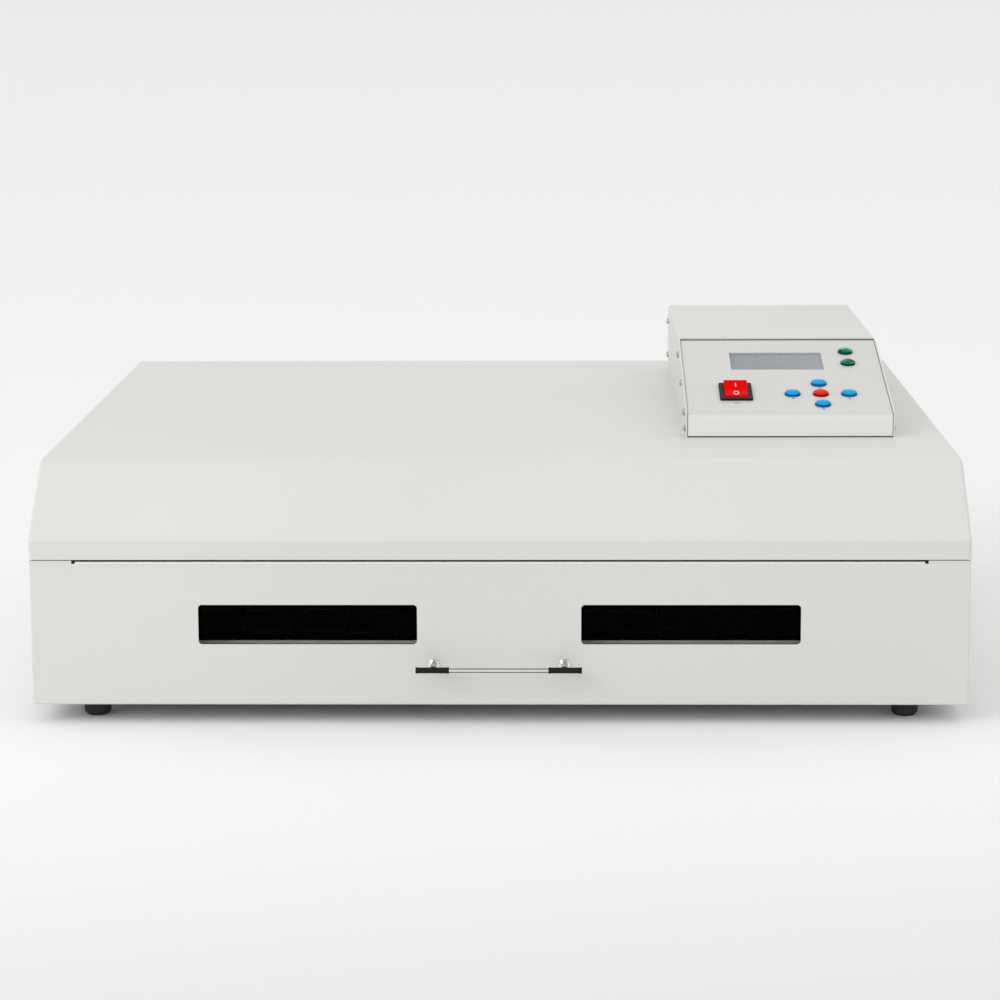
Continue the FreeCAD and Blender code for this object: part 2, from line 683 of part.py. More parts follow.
def cover_form(name, inset):
    """Solid with the cover's outline, drawn in by inset on its closed sides."""
    body = new_body(name)
    slope = "atan(slope_rise / slope_run)"
    open_end = "0" if inset == "0" else "1"
    skirt = (f"{inset} - sheet", f"{SKIRT_TOP} - {inset} * tan(45 deg - {slope} / 2)")
    crest = (f"slope_run - sheet + {inset} * tan({slope} / 2)", f"{COVER_TOP} - {inset}")
    profile = sketched(body, "YZ_Plane", [[
        (skirt[0], f"{COVER_LOW} - {open_end}"), (f"body_depth + {open_end}", f"{COVER_LOW} - {open_end}"),
        (f"body_depth + {open_end}", crest[1]), crest, skirt,
    ]])
    pad(body, profile, f"2 * ({COVER_SIDE} - {inset})", middle=True)
    for radius, corner in (("top_fold_radius", crest), ("skirt_fold_radius", skirt)):
        y, z = number(corner[0]), number(corner[1])
        fillet(body, f"{radius} - {inset}", lambda edge: runs_along(edge, "x")
               and near(edge.CenterOfMass.y, y) and near(edge.CenterOfMass.z, z))
    low = number(f"{COVER_LOW} - {open_end}")
    back = number(f"body_depth + {open_end}")
    fillet(body, f"side_fold_radius - {inset}", lambda edge: edge.BoundBox.XLength < 0.01
           and not near(edge.CenterOfMass.z, low) and not near(edge.CenterOfMass.y, back))
    return body


def top_cover():
    """Folded cover: skirt, sloping front, top and side walls, open below and behind."""
    outside = cover_form("cover_outside", "0")
    inside = cover_form("cover_inside", "sheet")
    half = "grommet_hole / 2"
    back = f"({CONSOLE_REAR} - grommet_rear_gap)"
    cable = block((f"{CONSOLE_AT} - {half}", f"{CONSOLE_AT} + {half}"),
                  (f"{back} - {half}", f"{back} + {half}"),
                  (f"{COVER_TOP} - 3 * sheet", f"{COVER_TOP} + sheet"))
    keep("top_cover", cut(outside, inside, cable))


def rear_panel():
    """Rear wall with folded edges, openings for the fans and the mains inlet, and air slots."""
    body = new_body("rear")
    side = f"({TUB_INSIDE} - fit_gap)"
    low = f"({BASE_FLOOR} + fit_gap)"
    top = f"({COVER_TOP} - sheet - fit_gap)"
    front = "(body_depth - rear_flange)"
    outline = rounded((minus(side), side), (low, top), "bend_radius")
    pad(body, sketched(body, "XZ_Plane", [outline], lift=minus(front)), "rear_flange", back=True)
    inner = rectangle((f"sheet - {side}", f"{side} - sheet"), (f"{low} + sheet", f"{top} - sheet"))
    pocket(body, sketched(body, "XZ_Plane", [inner], lift=minus(front)), "rear_flange - sheet")
    socket_side = "(socket_width / 2 + socket_wall + fit_gap)"
    socket_edge = "(socket_height / 2 + socket_wall + fit_gap)"
    openings = [rectangle((f"{INLET_AT} - {socket_side}", f"{INLET_AT} + {socket_side}"),
                          (f"{INLET_LEVEL} - {socket_edge}", f"{INLET_LEVEL} + {socket_edge}"))]
    rings = [(x, FAN_LEVEL, FAN_BORE) for x in fan_spots()]
    outline = sketched(body, "XZ_Plane", openings, rings, lift="-body_depth")
    pocket(body, outline, "2 * sheet", back=True)
    slot = vent_outline("0", f"({FAN_LEVEL} + fan_size / 4)")
    first = pocket(body, sketched(body, "XZ_Plane", [slot], lift="-body_depth"), "2 * sheet", back=True)
    row(body, first, "Z_Axis", "7 * vent_pitch", "8", back=True)
    keep("rear_panel", body)


def rubber_feet():
    """Four tapered rubber feet with a bevelled lower rim."""
    body = new_body("foot")
    low_radius = "(foot_width / 2 - foot_taper)"
    profile = sketched(body, "XZ_Plane", [[
        ("0", "0"), (f"{low_radius} - foot_bevel", "0"), (low_radius, "foot_bevel"),
        ("foot_width / 2", "foot_height"), ("0", "foot_height"),
    ]])
    revolve(body, profile)
    keep("rubber_feet", *copies(body, [(x, y, "0", None) for x, y in foot_spots()]))


def foot_spots():
    across = f"({BODY_SIDE} - foot_inset_side)"
    ends = ("foot_inset_end", "(body_depth - foot_inset_end)")
    return [(x, y) for x in (minus(across), across) for y in ends]


def casing_screws(bolt):
    """Screws of the feet, the cover and the rear panel."""
    keep("foot_screws", *copies(bolt, [(x, y, BASE_FLOOR, None) for x, y in foot_spots()]))
    for name, face, spots in (("cover_screws", COVER_SIDE, cover_screw_spots()),
                              ("rear_screws", BODY_SIDE, rear_screw_spots())):
        rights = [(face, y, z, TURNS["+x"]) for y, z in spots]
        lefts = [(minus(face), y, z, TURNS["-x"]) for y, z in spots]
        keep(name, *copies(bolt, rights + lefts))


def cover_screw_spots():
    depths = ("drawer_depth * 6", "body_depth / 2", "body_depth - rear_flange * 4")
    return [(y, COVER_SCREW_LEVEL) for y in depths]


def rear_screw_spots():
    return [(REAR_SCREW_AT, f"foot_height + {share} * drawer_height") for share in (0.25, 0.8)]


# Heating chamber
def chamber_liner():
    """Bright inner box, open at the front, with holes for lamps, probes and exhaust."""
    body = new_body("liner")
    outside = f"({LINER_SIDE} + liner_sheet)"
    low = f"({LINER_FLOOR} - liner_sheet)"
    top = f"({LINER_ROOF} + liner_sheet)"
    shell = sketched(body, "XZ_Plane", [rectangle((minus(outside), outside), (low, top))],
                     lift=minus(LINER_FRONT))
    pad(body, shell, f"{LINER_BACK} - {LINER_FRONT}", back=True)
    room = rectangle((minus(LINER_SIDE), LINER_SIDE), (LINER_FLOOR, LINER_ROOF))
    hollow = sketched(body, "XZ_Plane", [room], lift=minus(LINER_FRONT))
    pocket(body, hollow, f"{LINER_BACK} - {LINER_FRONT} - liner_sheet")
    ducts = [square("duct_width / 2", x, FAN_LEVEL) for x in fan_spots()]
    probes = [(f"({side} * probe_offset)", PROBE_LEVEL, "probe_width + 2 * fit_gap") for side in (-1, 1)]
    rear = sketched(body, "XZ_Plane", ducts, probes, lift=minus(LINER_BACK))
    pocket(body, rear, "2 * liner_sheet", back=True)
    ends = [square("lamp_hole / 2", lamp_at(index), LAMP_LEVEL) for index in range(count("lamp_count"))]
    pocket(body, sketched(body, "YZ_Plane", ends), f"3 * {outside}", middle=True)
    keep("chamber_liner", body)


def lamp_at(index):
    return f"(lamp_start + {index} * {LAMP_PITCH})"


def insulation():
    """Slabs of mineral wool under, beside, over and behind the chamber."""
    outside = f"({LINER_SIDE} + liner_sheet)"
    low = f"({BASE_FLOOR} + fit_gap)"
    under = f"({LINER_FLOOR} - liner_sheet - fit_gap)"
    inner_end = f"({LINER_BACK} - fit_gap)"
    across = (minus(LINER_SIDE), LINER_SIDE)
    floor_slab = block(across, (LINER_FRONT, inner_end), (low, under))
    clear = "(bolt_head / 2 + 2 * fit_gap)"
    pits = [block((f"{x} - {clear}", f"{x} + {clear}"), (f"{y} - {clear}", f"{y} + {clear}"), (low, under))
            for x, y in foot_spots()]
    slabs = [cut(floor_slab, *pits)]
    for side in (1, -1):
        faces = ordered(f"{side} * ({outside} + fit_gap)", f"{side} * ({outside} + fit_gap + side_wool)")
        slabs.append(block(faces, (LINER_FRONT, inner_end), (low, f"{LINER_ROOF} - side_wool_drop")))
    over = f"({LINER_ROOF} + liner_sheet + fit_gap)"
    slabs.append(block(across, ("roof_wool_start", inner_end), (over, f"{over} + roof_wool")))
    behind = f"({LINER_BACK} + duct_sheet + 2 * fit_gap)"
    rear_slab = block(across, (behind, f"{behind} + rear_wool"), (low, LINER_ROOF))
    through = (f"{behind} - 1", f"{behind} + rear_wool + 1")
    passes = []
    for spread, level, half in (("fan_offset", FAN_LEVEL, "(duct_width / 2 + duct_sheet + 2 * fit_gap)"),
                                ("probe_offset", PROBE_LEVEL, "(gland_width / 2 + fit_gap)")):
        for side in (-1, 1):
            across = (f"{side} * {spread} - {half}", f"{side} * {spread} + {half}")
            passes.append(block(across, through, (f"{level} - {half}", f"{level} + {half}")))
    slabs.append(cut(rear_slab, *passes))
    keep("insulation_slabs", *slabs)


def heating_lamps():
    """Quartz tubes across the chamber, each held in a ceramic block on both sides."""
    lamps = [rod("x", (lamp_at(index), LAMP_LEVEL), (minus(LAMP_END), LAMP_END), "lamp_width")
             for index in range(count("lamp_count"))]
    keep("lamp_tubes", *lamps)
    wall = f"({LINER_SIDE} + liner_sheet + fit_gap)"
    edge = "(ceramic_body / 2)"
    seat = "(lamp_width / 2 + fit_gap)"
    solid = block((wall, f"{wall} + ceramic_length"), (minus(edge), edge), (minus(edge), edge))
    socket = block((f"{wall} - 1", f"{LAMP_END} + fit_gap"), (minus(seat), seat), (minus(seat), seat))
    holder = cut(solid, socket)
    spots = [("0", lamp_at(index), LAMP_LEVEL, turn)
             for index in range(count("lamp_count")) for turn in (None, HALF_TURN)]
    keep("lamp_ceramics", *copies(holder, spots))


def lamp_reflector():
    """Folded bright sheet under the roof, with a trough over each lamp."""
    body = new_body("lamp_reflector")
    top = f"({LINER_ROOF} - fit_gap)"
    ridge = f"({top} - reflector_rise)"
    upper = []
    for index in range(count("lamp_count")):
        middle = lamp_at(index)
        upper.append((f"{middle} - {LAMP_PITCH} / 2", ridge))
        upper.append((f"{middle} - reflector_flat / 2", top))
        upper.append((f"{middle} + reflector_flat / 2", top))
    upper.append((f"{lamp_at(count('lamp_count') - 1)} + {LAMP_PITCH} / 2", ridge))
    lower = [(y, f"{z} - reflector_sheet") for y, z in upper]
    profile = sketched(body, "YZ_Plane", [lower + upper[::-1]])
    pad(body, profile, f"2 * ({LINER_SIDE} - 4 * liner_sheet)", middle=True)
    keep("lamp_reflector", body)


def thermocouples():
    """Two temperature probes through the chamber's rear wall, each with its gland nut."""
    probes = []
    for side in (-1, 1):
        across = f"({side} * probe_offset)"
        nut = doc.addObject("Part::Prism", "gland")
        nut.Polygon = 6
        bind(nut, Circumradius="gland_width / 2", Height="gland_depth")
        place(nut, across, f"{LINER_BACK} + fit_gap", PROBE_LEVEL, TURNS["+y"])
        tip = f"{LINER_BACK} - probe_reach"
        stem = rod("y", (across, PROBE_LEVEL), (tip, f"{LINER_BACK} + 2 * gland_depth"), "probe_width")
        probes.append(joined([stem, nut]))
    keep("thermocouples", *probes)


# Exhaust
def exhaust_ducts():
    """Two square ducts from the chamber to the fans, flanged at the chamber."""
    body = new_body("duct")
    inside = "(duct_width / 2 + fit_gap)"
    start = f"({LINER_BACK} + fit_gap)"
    rim = [square("duct_flange / 2"), square(inside)]
    pad(body, sketched(body, "XY_Plane", rim), "duct_sheet")
    wall = [square(f"({inside} + duct_sheet)"), square(inside)]
    pad(body, sketched(body, "XY_Plane", wall), f"{FAN_FRONT} - fit_gap - {start}")
    keep("exhaust_ducts", *copies(body, [(x, start, FAN_LEVEL, TURNS["+y"]) for x in fan_spots()]))


def fan_spots():
    return ("(-fan_offset)", "fan_offset")


def fan_corner_spots(x="0", y="0"):
    half = f"{FAN_PITCH} / 2"
    return [(f"{x} + {across} * {half}", f"{y} + {up} * {half}") for across in (-1, 1) for up in (-1, 1)]


def fan_frames():
    """Square fan frames: a deep block with a round bore, and a hub on three struts."""
    body = new_body("fan_frame")
    pad(body, sketched(body, "XY_Plane", [square("fan_size / 2")], [("0", "0", FAN_BORE)]), "fan_depth")
    hub_level = "fan_depth - rotor_gap"
    hub = [("0", "0", "fan_hub"), ("0", "0", "fan_shaft + 2 * shaft_gap")]
    strut = rectangle(("-fan_strut / 2", "fan_strut / 2"), ("fan_hub * 0.4", "(fan_size - fan_wall) / 2"))
    first = pad(body, sketched(body, "XY_Plane", [strut], lift=hub_level), "rotor_gap")
    polar(body, first, "3")
    pad(body, sketched(body, "XY_Plane", [], hub, lift=hub_level), "rotor_gap")
    keep("fan_frames", *copies(body, [(x, FAN_FRONT, FAN_LEVEL, TURNS["+y"]) for x in fan_spots()]))


def blade_section():
    """Cambered blade outline: two arcs between the leading and the trailing edge."""
    half = "(blade_chord / 2)"
    middle = "(fan_depth / 2)"
    lead = (f"{half} * cos(blade_pitch)", f"{middle} + {half} * sin(blade_pitch)")
    trail = (f"-{half} * cos(blade_pitch)", f"{middle} - {half} * sin(blade_pitch)")
    return [(*trail, "blade_chord * 0.75"), (*lead, "-blade_chord * 0.95")]


def fan_rotor(name, x):
    """Fan wheel: a bevelled hub with a shaft, and slanted, cambered blades."""
    body = new_body("rotor")
    rim = "(fan_hub / 2)"
    hub = sketched(body, "XZ_Plane", [[
        ("0", "rotor_gap"), (f"{rim} - rotor_gap", "rotor_gap"), (rim, "2 * rotor_gap"),
        (rim, "fan_depth - rotor_gap - fit_gap"), ("0", "fan_depth - rotor_gap - fit_gap"),
    ]])
    revolve(body, hub)
    shaft = sketched(body, "XY_Plane", [], [("0", "0", "fan_shaft")], lift="fan_depth / 2")
    pad(body, shaft, "fan_depth / 2")
    root = f"({rim} - rotor_gap)"
    section = sketched(body, "YZ_Plane", [blade_section()], lift=root)
    blade = pad(body, section, f"{FAN_BORE} / 2 - blade_tip_gap - {root}")
    polar(body, blade, "blade_count")
    body.Label = name
    place(body, x, f"{SETBACK} + {FAN_FRONT}", FAN_LEVEL, TURNS["+y"])
    pieces.append(body)


def fan_guards(bolt):
    """Guards over the fans, and the screws that hold guard, panel and fan together."""
    body = new_body("guard")
    corners = [square("bolt_head / 2", x, y) for x, y in fan_corner_spots()]
    pad(body, sketched(body, "XY_Plane", corners), "guard_wire", middle=True)
    spokes = [spoke_outline(across, up) for across, up in ((1, 1), (-1, 1), (-1, -1), (1, -1))]
    pad(body, sketched(body, "XY_Plane", spokes), "guard_wire", middle=True)
    for index in range(1, count("guard_ring_count") + 1):
        middle = f"2 * {index} * guard_ring_pitch"
        ring = [("0", "0", f"{middle} - guard_wire"), ("0", "0", f"{middle} + guard_wire")]
        pad(body, sketched(body, "XY_Plane", [], ring), "guard_wire", middle=True)
    keep("fan_guards", *copies(body, [(x, GUARD_AXIS, FAN_LEVEL, TURNS["+y"]) for x in fan_spots()]))
    spots = []
    for fan in fan_spots():
        for x, z in fan_corner_spots(fan, FAN_LEVEL):
            spots.append((x, "body_depth + guard_wire", z, TURNS["+y"]))
    keep("fan_screws", *copies(bolt, spots))


def spoke_outline(across, up):
    """Outline of a diagonal bar of the guard, from its inner ring to one corner."""
    start = "(guard_ring_pitch * sqrt(0.5))"
    end = f"({FAN_PITCH} / 2)"
    half = "(guard_wire / 2 * sqrt(0.5))"
    points = [(f"{start} + {half}", f"{start} - {half}"), (f"{end} + {half}", f"{end} - {half}"),
              (f"{end} - {half}", f"{end} + {half}"), (f"{start} - {half}", f"{start} + {half}")]
    return [(f"{across} * ({x})", f"{up} * ({y})") for x, y in points]


# Mains inlet and power electronics
def power_inlet(screw):
    """Mains inlet with three flat pins, screwed to the rear panel."""
    body = new_body("inlet")
    half = "(inlet_width / 2)"
    edge = "(inlet_height / 2)"
    flange = rounded((minus(half), half), (minus(edge), edge), "bend_radius")
    pad(body, sketched(body, "XY_Plane", [flange]), "inlet_flange")
    wall_side = "(socket_width / 2 + socket_wall)"
    wall_edge = "(socket_height / 2 + socket_wall)"
    case = rectangle((minus(wall_side), wall_side), (minus(wall_edge), wall_edge))
    pad(body, sketched(body, "XY_Plane", [case]), "inlet_depth", back=True)
    well_side = "(socket_width / 2)"
    well_edge = "(socket_height / 2)"
    well = rounded((minus(well_side), well_side), (minus(well_edge), well_edge), "bend_radius")
    pocket(body, sketched(body, "XY_Plane", [well], lift="inlet_flange"), "socket_depth")
    floor = "(inlet_flange - socket_depth)"
    spots = (("-blade_pin_pitch / 2", "-blade_pin_rise / 2"), ("blade_pin_pitch / 2", "-blade_pin_rise / 2"),
             ("0", "blade_pin_rise / 2"))
    for across, up in spots:
        pin = rectangle((f"{across} - blade_pin_width / 2", f"{across} + blade_pin_width / 2"),
                        (f"{up} - blade_pin_thickness / 2", f"{up} + blade_pin_thickness / 2"))
        pad(body, sketched(body, "XY_Plane", [pin], lift=floor), "socket_depth - inlet_flange")
    place(body, INLET_AT, f"{SETBACK} + body_depth", INLET_LEVEL, TURNS["+y"])
    body.Label = "power_inlet"
    pieces.append(body)
    spots = [(f"{INLET_AT} + {side} * inlet_screw_pitch / 2", "body_depth + inlet_flange", INLET_LEVEL,
              TURNS["+y"]) for side in (-1, 1)]
    keep("inlet_screws", *copies(screw, spots))


BOARD_SIDE = "(board_width / 2)"
BOARD_BACK = f"({REAR_INSIDE} - board_rear_gap)"
BOARD_FRONT = f"({BOARD_BACK} - board_depth)"
BOARD_LOW = f"({BASE_FLOOR} + board_standoff)"
BOARD_TOP = f"({BOARD_LOW} + board_sheet)"


def power_electronics():
    """Power board on the base's floor, with its heat sink, transformer and terminal block."""
    plate = block((minus(BOARD_SIDE), BOARD_SIDE), (BOARD_FRONT, BOARD_BACK), (BOARD_LOW, BOARD_TOP))
    keep("power_board", plate)
    body = new_body("heat_sink")
    left = f"(2 * board_hole_inset - {BOARD_SIDE})"
    back = f"({BOARD_BACK} - 2 * board_hole_inset)"
    front = f"({back} - sink_depth)"
    base = rectangle((left, f"{left} + sink_width"), (front, back))
    pad(body, sketched(body, "XY_Plane", [base], lift=BOARD_TOP), "sink_base")
    fin = rectangle((left, f"{left} + fin_sheet"), (front, back))
    first = pad(body, sketched(body, "XY_Plane", [fin], lift=BOARD_TOP), "sink_height")
    row(body, first, "X_Axis", "sink_width - fin_sheet", "fin_count")
    keep("heat_sink", body)
    right = f"({BOARD_SIDE} - 2 * board_hole_inset)"
    iron = rectangle((f"{right} - transformer_size", right), (f"{back} - transformer_size", back))
    core = new_body("transformer")
    pad(core, sketched(core, "XY_Plane", [iron], lift=BOARD_TOP), "transformer_height")
    keep("transformer", core)
    strip = new_body("terminal_block")
    start = f"({BOARD_FRONT} + 2 * board_hole_inset)"
    step = f"({BOARD_TOP} + terminal_height / 2)"
    profile = sketched(strip, "YZ_Plane", [[
        (start, BOARD_TOP), (f"{start} + terminal_depth", BOARD_TOP),
        (f"{start} + terminal_depth", f"{BOARD_TOP} + terminal_height"),
        (f"{start} + terminal_depth / 2", f"{BOARD_TOP} + terminal_height"),
        (f"{start} + terminal_depth / 2", step), (start, step),
    ]], lift=f"{right} - terminal_length")
    pad(strip, profile, "terminal_length")
    keep("terminal_block", strip)


# Drawer front
def drawer_front():
    """Folded drawer front with two windows; its top edge is folded between two bend reliefs."""
    body = new_body("front_pan")
    outside = rectangle((minus(FRONT_SIDE), FRONT_SIDE), (DRAWER_LOW, DRAWER_TOP))
    pad(body, sketched(body, "XZ_Plane", [outside]), "drawer_depth", back=True)
    fillet(body, "drawer_sheet", lambda edge: near(edge.CenterOfMass.y, 0)
           and (runs_along(edge, "z") or runs_along(edge, "x")))
    inside = f"({FRONT_SIDE} - drawer_sheet)"
    fold = f"({DRAWER_TOP} - drawer_sheet)"
    room = "drawer_depth - drawer_sheet"
    hollow = rectangle((minus(inside), inside), (f"{DRAWER_LOW} + drawer_sheet", fold))
    pocket(body, sketched(body, "XZ_Plane", [hollow], lift="-drawer_depth"), room, back=True)
    above = f"({DRAWER_TOP} + ear_height)"
    ends = []
    reliefs = []
    ears = []
    for side in (-1, 1):
        fold_end = f"({side} * {FRAME_OPEN})"
        relief_end = f"({side} * ({FRAME_OPEN} + relief_width))"
        ends.append(rectangle(ordered(relief_end, f"({side} * {inside})"), (fold, above)))
        reliefs.append(rectangle(ordered(fold_end, relief_end), (f"{DRAWER_TOP} - relief_depth", above)))
        ears.append(rectangle(ordered(relief_end, f"({side} * {FRONT_SIDE})"), (fold, above)))
    pocket(body, sketched(body, "XZ_Plane", ends, lift="-drawer_depth"), room, back=True)
    pad(body, sketched(body, "XZ_Plane", ears), "drawer_sheet", back=True)
    pocket(body, sketched(body, "XZ_Plane", reliefs, lift="drawer_sheet"), "2 * drawer_depth")
    windows = [window_outline(side) for side in (-1, 1)]
    pocket(body, sketched(body, "XZ_Plane", windows, lift="drawer_sheet"), "3 * drawer_sheet")
    keep("drawer_front", body)


def ordered(one, other):
    return tuple(sorted((one, other), key=number))


def window_outline(side, margin="0"):
    """Outline of a window, or of an opening that is wider by a margin and has sharp corners."""
    middle = f"({side} * window_offset)"
    half = f"(window_width / 2 + {margin})"
    across = (f"{middle} - {half}", f"{middle} + {half}")
    up = (f"{WINDOW_LOW} - {margin}", f"{WINDOW_LOW} + window_height + {margin}")
    return rounded(across, up, "window_radius") if margin == "0" else rectangle(across, up)


def drawer_liner():
    """Inner pan behind the drawer front, which plugs the chamber's opening."""
    body = new_body("plug")
    start = "(drawer_sheet + fit_gap)"
    outside = rectangle((minus(PLUG_SIDE), PLUG_SIDE), (PLUG_LOW, PLUG_TOP))
    pad(body, sketched(body, "XZ_Plane", [outside], lift=minus(start)), f"plug_depth - {start}", back=True)
    hollow = rectangle((f"plug_sheet - {PLUG_SIDE}", f"{PLUG_SIDE} - plug_sheet"),
                       (f"{PLUG_LOW} + plug_sheet", f"{PLUG_TOP} - plug_sheet"))
    room = f"plug_depth - {start} - plug_sheet"
    pocket(body, sketched(body, "XZ_Plane", [hollow], lift=minus(start)), room)
    windows = [window_outline(side, "plug_window_margin") for side in (-1, 1)]
    pocket(body, sketched(body, "XZ_Plane", windows, lift="-plug_depth"), "2 * plug_sheet", back=True)
    keep("drawer_liner", body)


def drawer_wadding():
    """Insulation inside the drawer front, open behind the windows."""
    body = new_body("wadding")
    side = f"({PLUG_SIDE} - plug_sheet - wadding_gap / 2)"
    gap = "(plug_sheet + wadding_gap / 2)"
    outside = rectangle((minus(side), side), (f"{PLUG_LOW} + {gap}", f"{PLUG_TOP} - {gap}"))
    windows = [window_outline(side, "wadding_margin") for side in (-1, 1)]
    profile = sketched(body, "XZ_Plane", [outside, *windows], lift="-wadding_front")
    pad(body, profile, "plug_depth - plug_sheet - fit_gap - wadding_front", back=True)
    keep("drawer_insulation", body)


def window_panes():
    """Two panes behind the windows, each held by four sprung clips."""
    panes = []
    back = "(drawer_sheet + fit_gap + glass_thickness)"
    for side in (-1, 1):
        body = new_body("pane")
        profile = sketched(body, "XZ_Plane", [window_outline(side, "glass_margin")],
                           lift="-drawer_sheet - fit_gap")
        pad(body, profile, "glass_thickness", back=True)
        panes.append(body)
    keep("window_glass", *panes)
    clip = new_body("clip")
    edge = "(window_height / 2 + glass_margin + fit_gap)"
    step = f"({edge} + clip_sheet)"
    near_face = "(drawer_sheet + fit_gap)"
    far_face = f"({back} + fit_gap)"
    profile = sketched(clip, "YZ_Plane", [[
        (near_face, edge), (near_face, f"{step} + clip_foot"),
        (f"{near_face} + clip_sheet", f"{step} + clip_foot"), (f"{near_face} + clip_sheet", step),
        (f"{far_face} + clip_sheet", step), (f"{far_face} + clip_sheet", f"{edge} - clip_grip"),
        (far_face, f"{edge} - clip_grip"), (far_face, edge),
    ]])
    pad(clip, profile, "clip_width", middle=True)
    over = Rotation(Vector(0, 1, 0), 180)
    spots = [(f"{window} * window_offset + {end} * clip_offset", "0", WINDOW_MIDDLE, turn)
             for window in (-1, 1) for end in (-1, 1) for turn in (None, over)]
    keep("glass_clips", *copies(clip, spots))


def drawer_handle(bolt):
    """Round bar in two sleeves, on two posts that screws hold from inside the drawer front."""
    axis_at = ("(-handle_standoff)", HANDLE_LEVEL)
    bar_end = "(handle_length / 2 - sleeve_end - fit_gap)"
    keep("handle_bar", rod("x", axis_at, (minus(bar_end), bar_end), "handle_rod"))
    body = new_body("sleeve")
    bore = "(handle_rod / 2 + fit_gap / 2)"
    start = "(handle_length / 2 - sleeve_length)"
    end = "(handle_length / 2)"
    profile = sketched(body, "XZ_Plane", [[
        (start, bore), (f"{end} - sleeve_end", bore), (f"{end} - sleeve_end", "0"), (end, "0"),
        (end, "collar_width / 2"), (f"{end} - collar_length", "collar_width / 2"),
        (f"{end} - collar_length", "sleeve_width / 2"), (f"{start} + collar_length", "sleeve_width / 2"),
        (f"{start} + collar_length", "collar_width / 2"), (start, "collar_width / 2"),
    ]])
    revolve(body, profile, "X_Axis")
    keep("handle_sleeves", *copies(body, [("0", *axis_at, turn) for turn in (None, HALF_TURN)]))
    post = new_body("post")
    reach = "(handle_standoff - handle_rod / 2)"
    profile = sketched(post, "XZ_Plane", [[
        ("0", "0"), ("rosette_width / 2", "0"), ("rosette_width / 2", "rosette_height * 0.5"),
        ("post_width / 2", "rosette_height"), ("post_width / 2", reach), ("0", reach),
    ]])
    revolve(post, profile)
    along = ("-handle_length", "handle_length")
    saddle = rod("x", ("0", "handle_standoff"), along, "sleeve_width + fit_gap")
    seated = cut(post, saddle)
    spots = [(f"({side} * post_offset)", "0", HANDLE_LEVEL, TURNS["-y"]) for side in (-1, 1)]
    keep("handle_posts", *copies(seated, spots))
    spots = [(f"({side} * post_offset)", "drawer_sheet", HANDLE_LEVEL, TURNS["+y"]) for side in (-1, 1)]
    keep("handle_screws", *copies(bolt, spots))


# Tray and slides
TRAY_SCREW_LEVEL = f"({TRAY_TOP} - bolt_head / 2)"


def tray_side_spots():
    return [f"({TRAY_FRONT} + {share} * {TRAY_DEPTH})" for share in (0.12, 0.5, 0.88)]


def tray_front_spots():
    return [f"({share} * {TRAY_SIDE})" for share in (-0.9, -0.12, 0.12, 0.9)]


def tray_outline(inset):
    """Rectangle inside the tray's outer faces."""
    return rectangle((f"{inset} - {TRAY_SIDE}", f"{TRAY_SIDE} - {inset}"),
                     (f"{TRAY_FRONT} + {inset}", f"{TRAY_BACK} - {inset}"))


def tray(bolt):
    """Upright rim with a level ledge, wires that carry the circuit boards, and the tray's screws."""
    side = TRAY_SIDE
    outside = rectangle((minus(side), side), (TRAY_FRONT, TRAY_BACK))
    wall = tray_outline("tray_sheet")
    rim = new_body("rim")
    pad(rim, sketched(rim, "XY_Plane", [outside, wall], lift=TRAY_LOW), "tray_height")
    keep("tray_rim", rim)
    ledge = new_body("tray_ledge")
    pad(ledge, sketched(ledge, "XY_Plane", [wall, tray_outline("tray_ledge")], lift=TRAY_LOW), "tray_sheet")
    keep("tray_ledge", ledge)
    wires = []
    upper = (TRAY_LEDGE_TOP, f"{TRAY_LEDGE_TOP} + wire_width")
    lower = (f"{TRAY_LEDGE_TOP} - wire_width", TRAY_LEDGE_TOP)
    seat = "(tray_ledge - bolt_head)"
    ends = (f"{TRAY_FRONT} + {seat}", f"{TRAY_BACK} - {seat}")
    for index in range(1, count("wire_count") + 1):
        across = f"(({TRAY_SIDE} - tray_ledge) * (2 * {index} / (wire_count + 1) - 1))"
        wires.append(block((f"{across} - wire_width / 2", f"{across} + wire_width / 2"), ends, upper))
    reach = f"({side} - tray_ledge - fit_gap)"
    for index in range(1, count("cross_wire_count") + 1):
        back = f"({TRAY_FRONT} + {TRAY_DEPTH} * {index} / (cross_wire_count + 1))"
        depths = (f"{back} - wire_width / 2", f"{back} + wire_width / 2")
        wires.append(block((minus(reach), reach), depths, lower))
    keep("tray_wires", *wires)
    spots = [(x, f"{TRAY_FRONT} + tray_sheet", TRAY_SCREW_LEVEL, TURNS["+y"]) for x in tray_front_spots()]
    for y in tray_side_spots():
        spots.append((f"{side} - tray_sheet", y, TRAY_SCREW_LEVEL, TURNS["-x"]))
        spots.append((f"tray_sheet - {side}", y, TRAY_SCREW_LEVEL, TURNS["+x"]))
    keep("tray_screws", *copies(bolt, spots))


def rail(outer, inner, low, top, opens_inward):
    """Channel-shaped slide rails for both sides, between two distances from the middle."""
    made = []
    for side in (1, -1):
        body = new_body("rail")
        web = (f"({outer} - slide_sheet)", outer) if opens_inward else (inner, f"({inner} + slide_sheet)")
        tips = inner if opens_inward else outer
        face = web[0] if opens_inward else web[1]
        back = web[1] if opens_inward else web[0]
        points = [
            (back, low), (tips, low), (tips, f"{low} + slide_sheet"), (face, f"{low} + slide_sheet"),
            (face, f"{top} - slide_sheet"), (tips, f"{top} - slide_sheet"), (tips, top), (back, top),
        ]
        loop = [(f"{side} * {x}", z) for x, z in points]
        profile = sketched(body, "XZ_Plane", [loop], lift="-slide_start")
        pad(body, profile, RAIL_LENGTH, back=True)
        made.append(body)
    return made


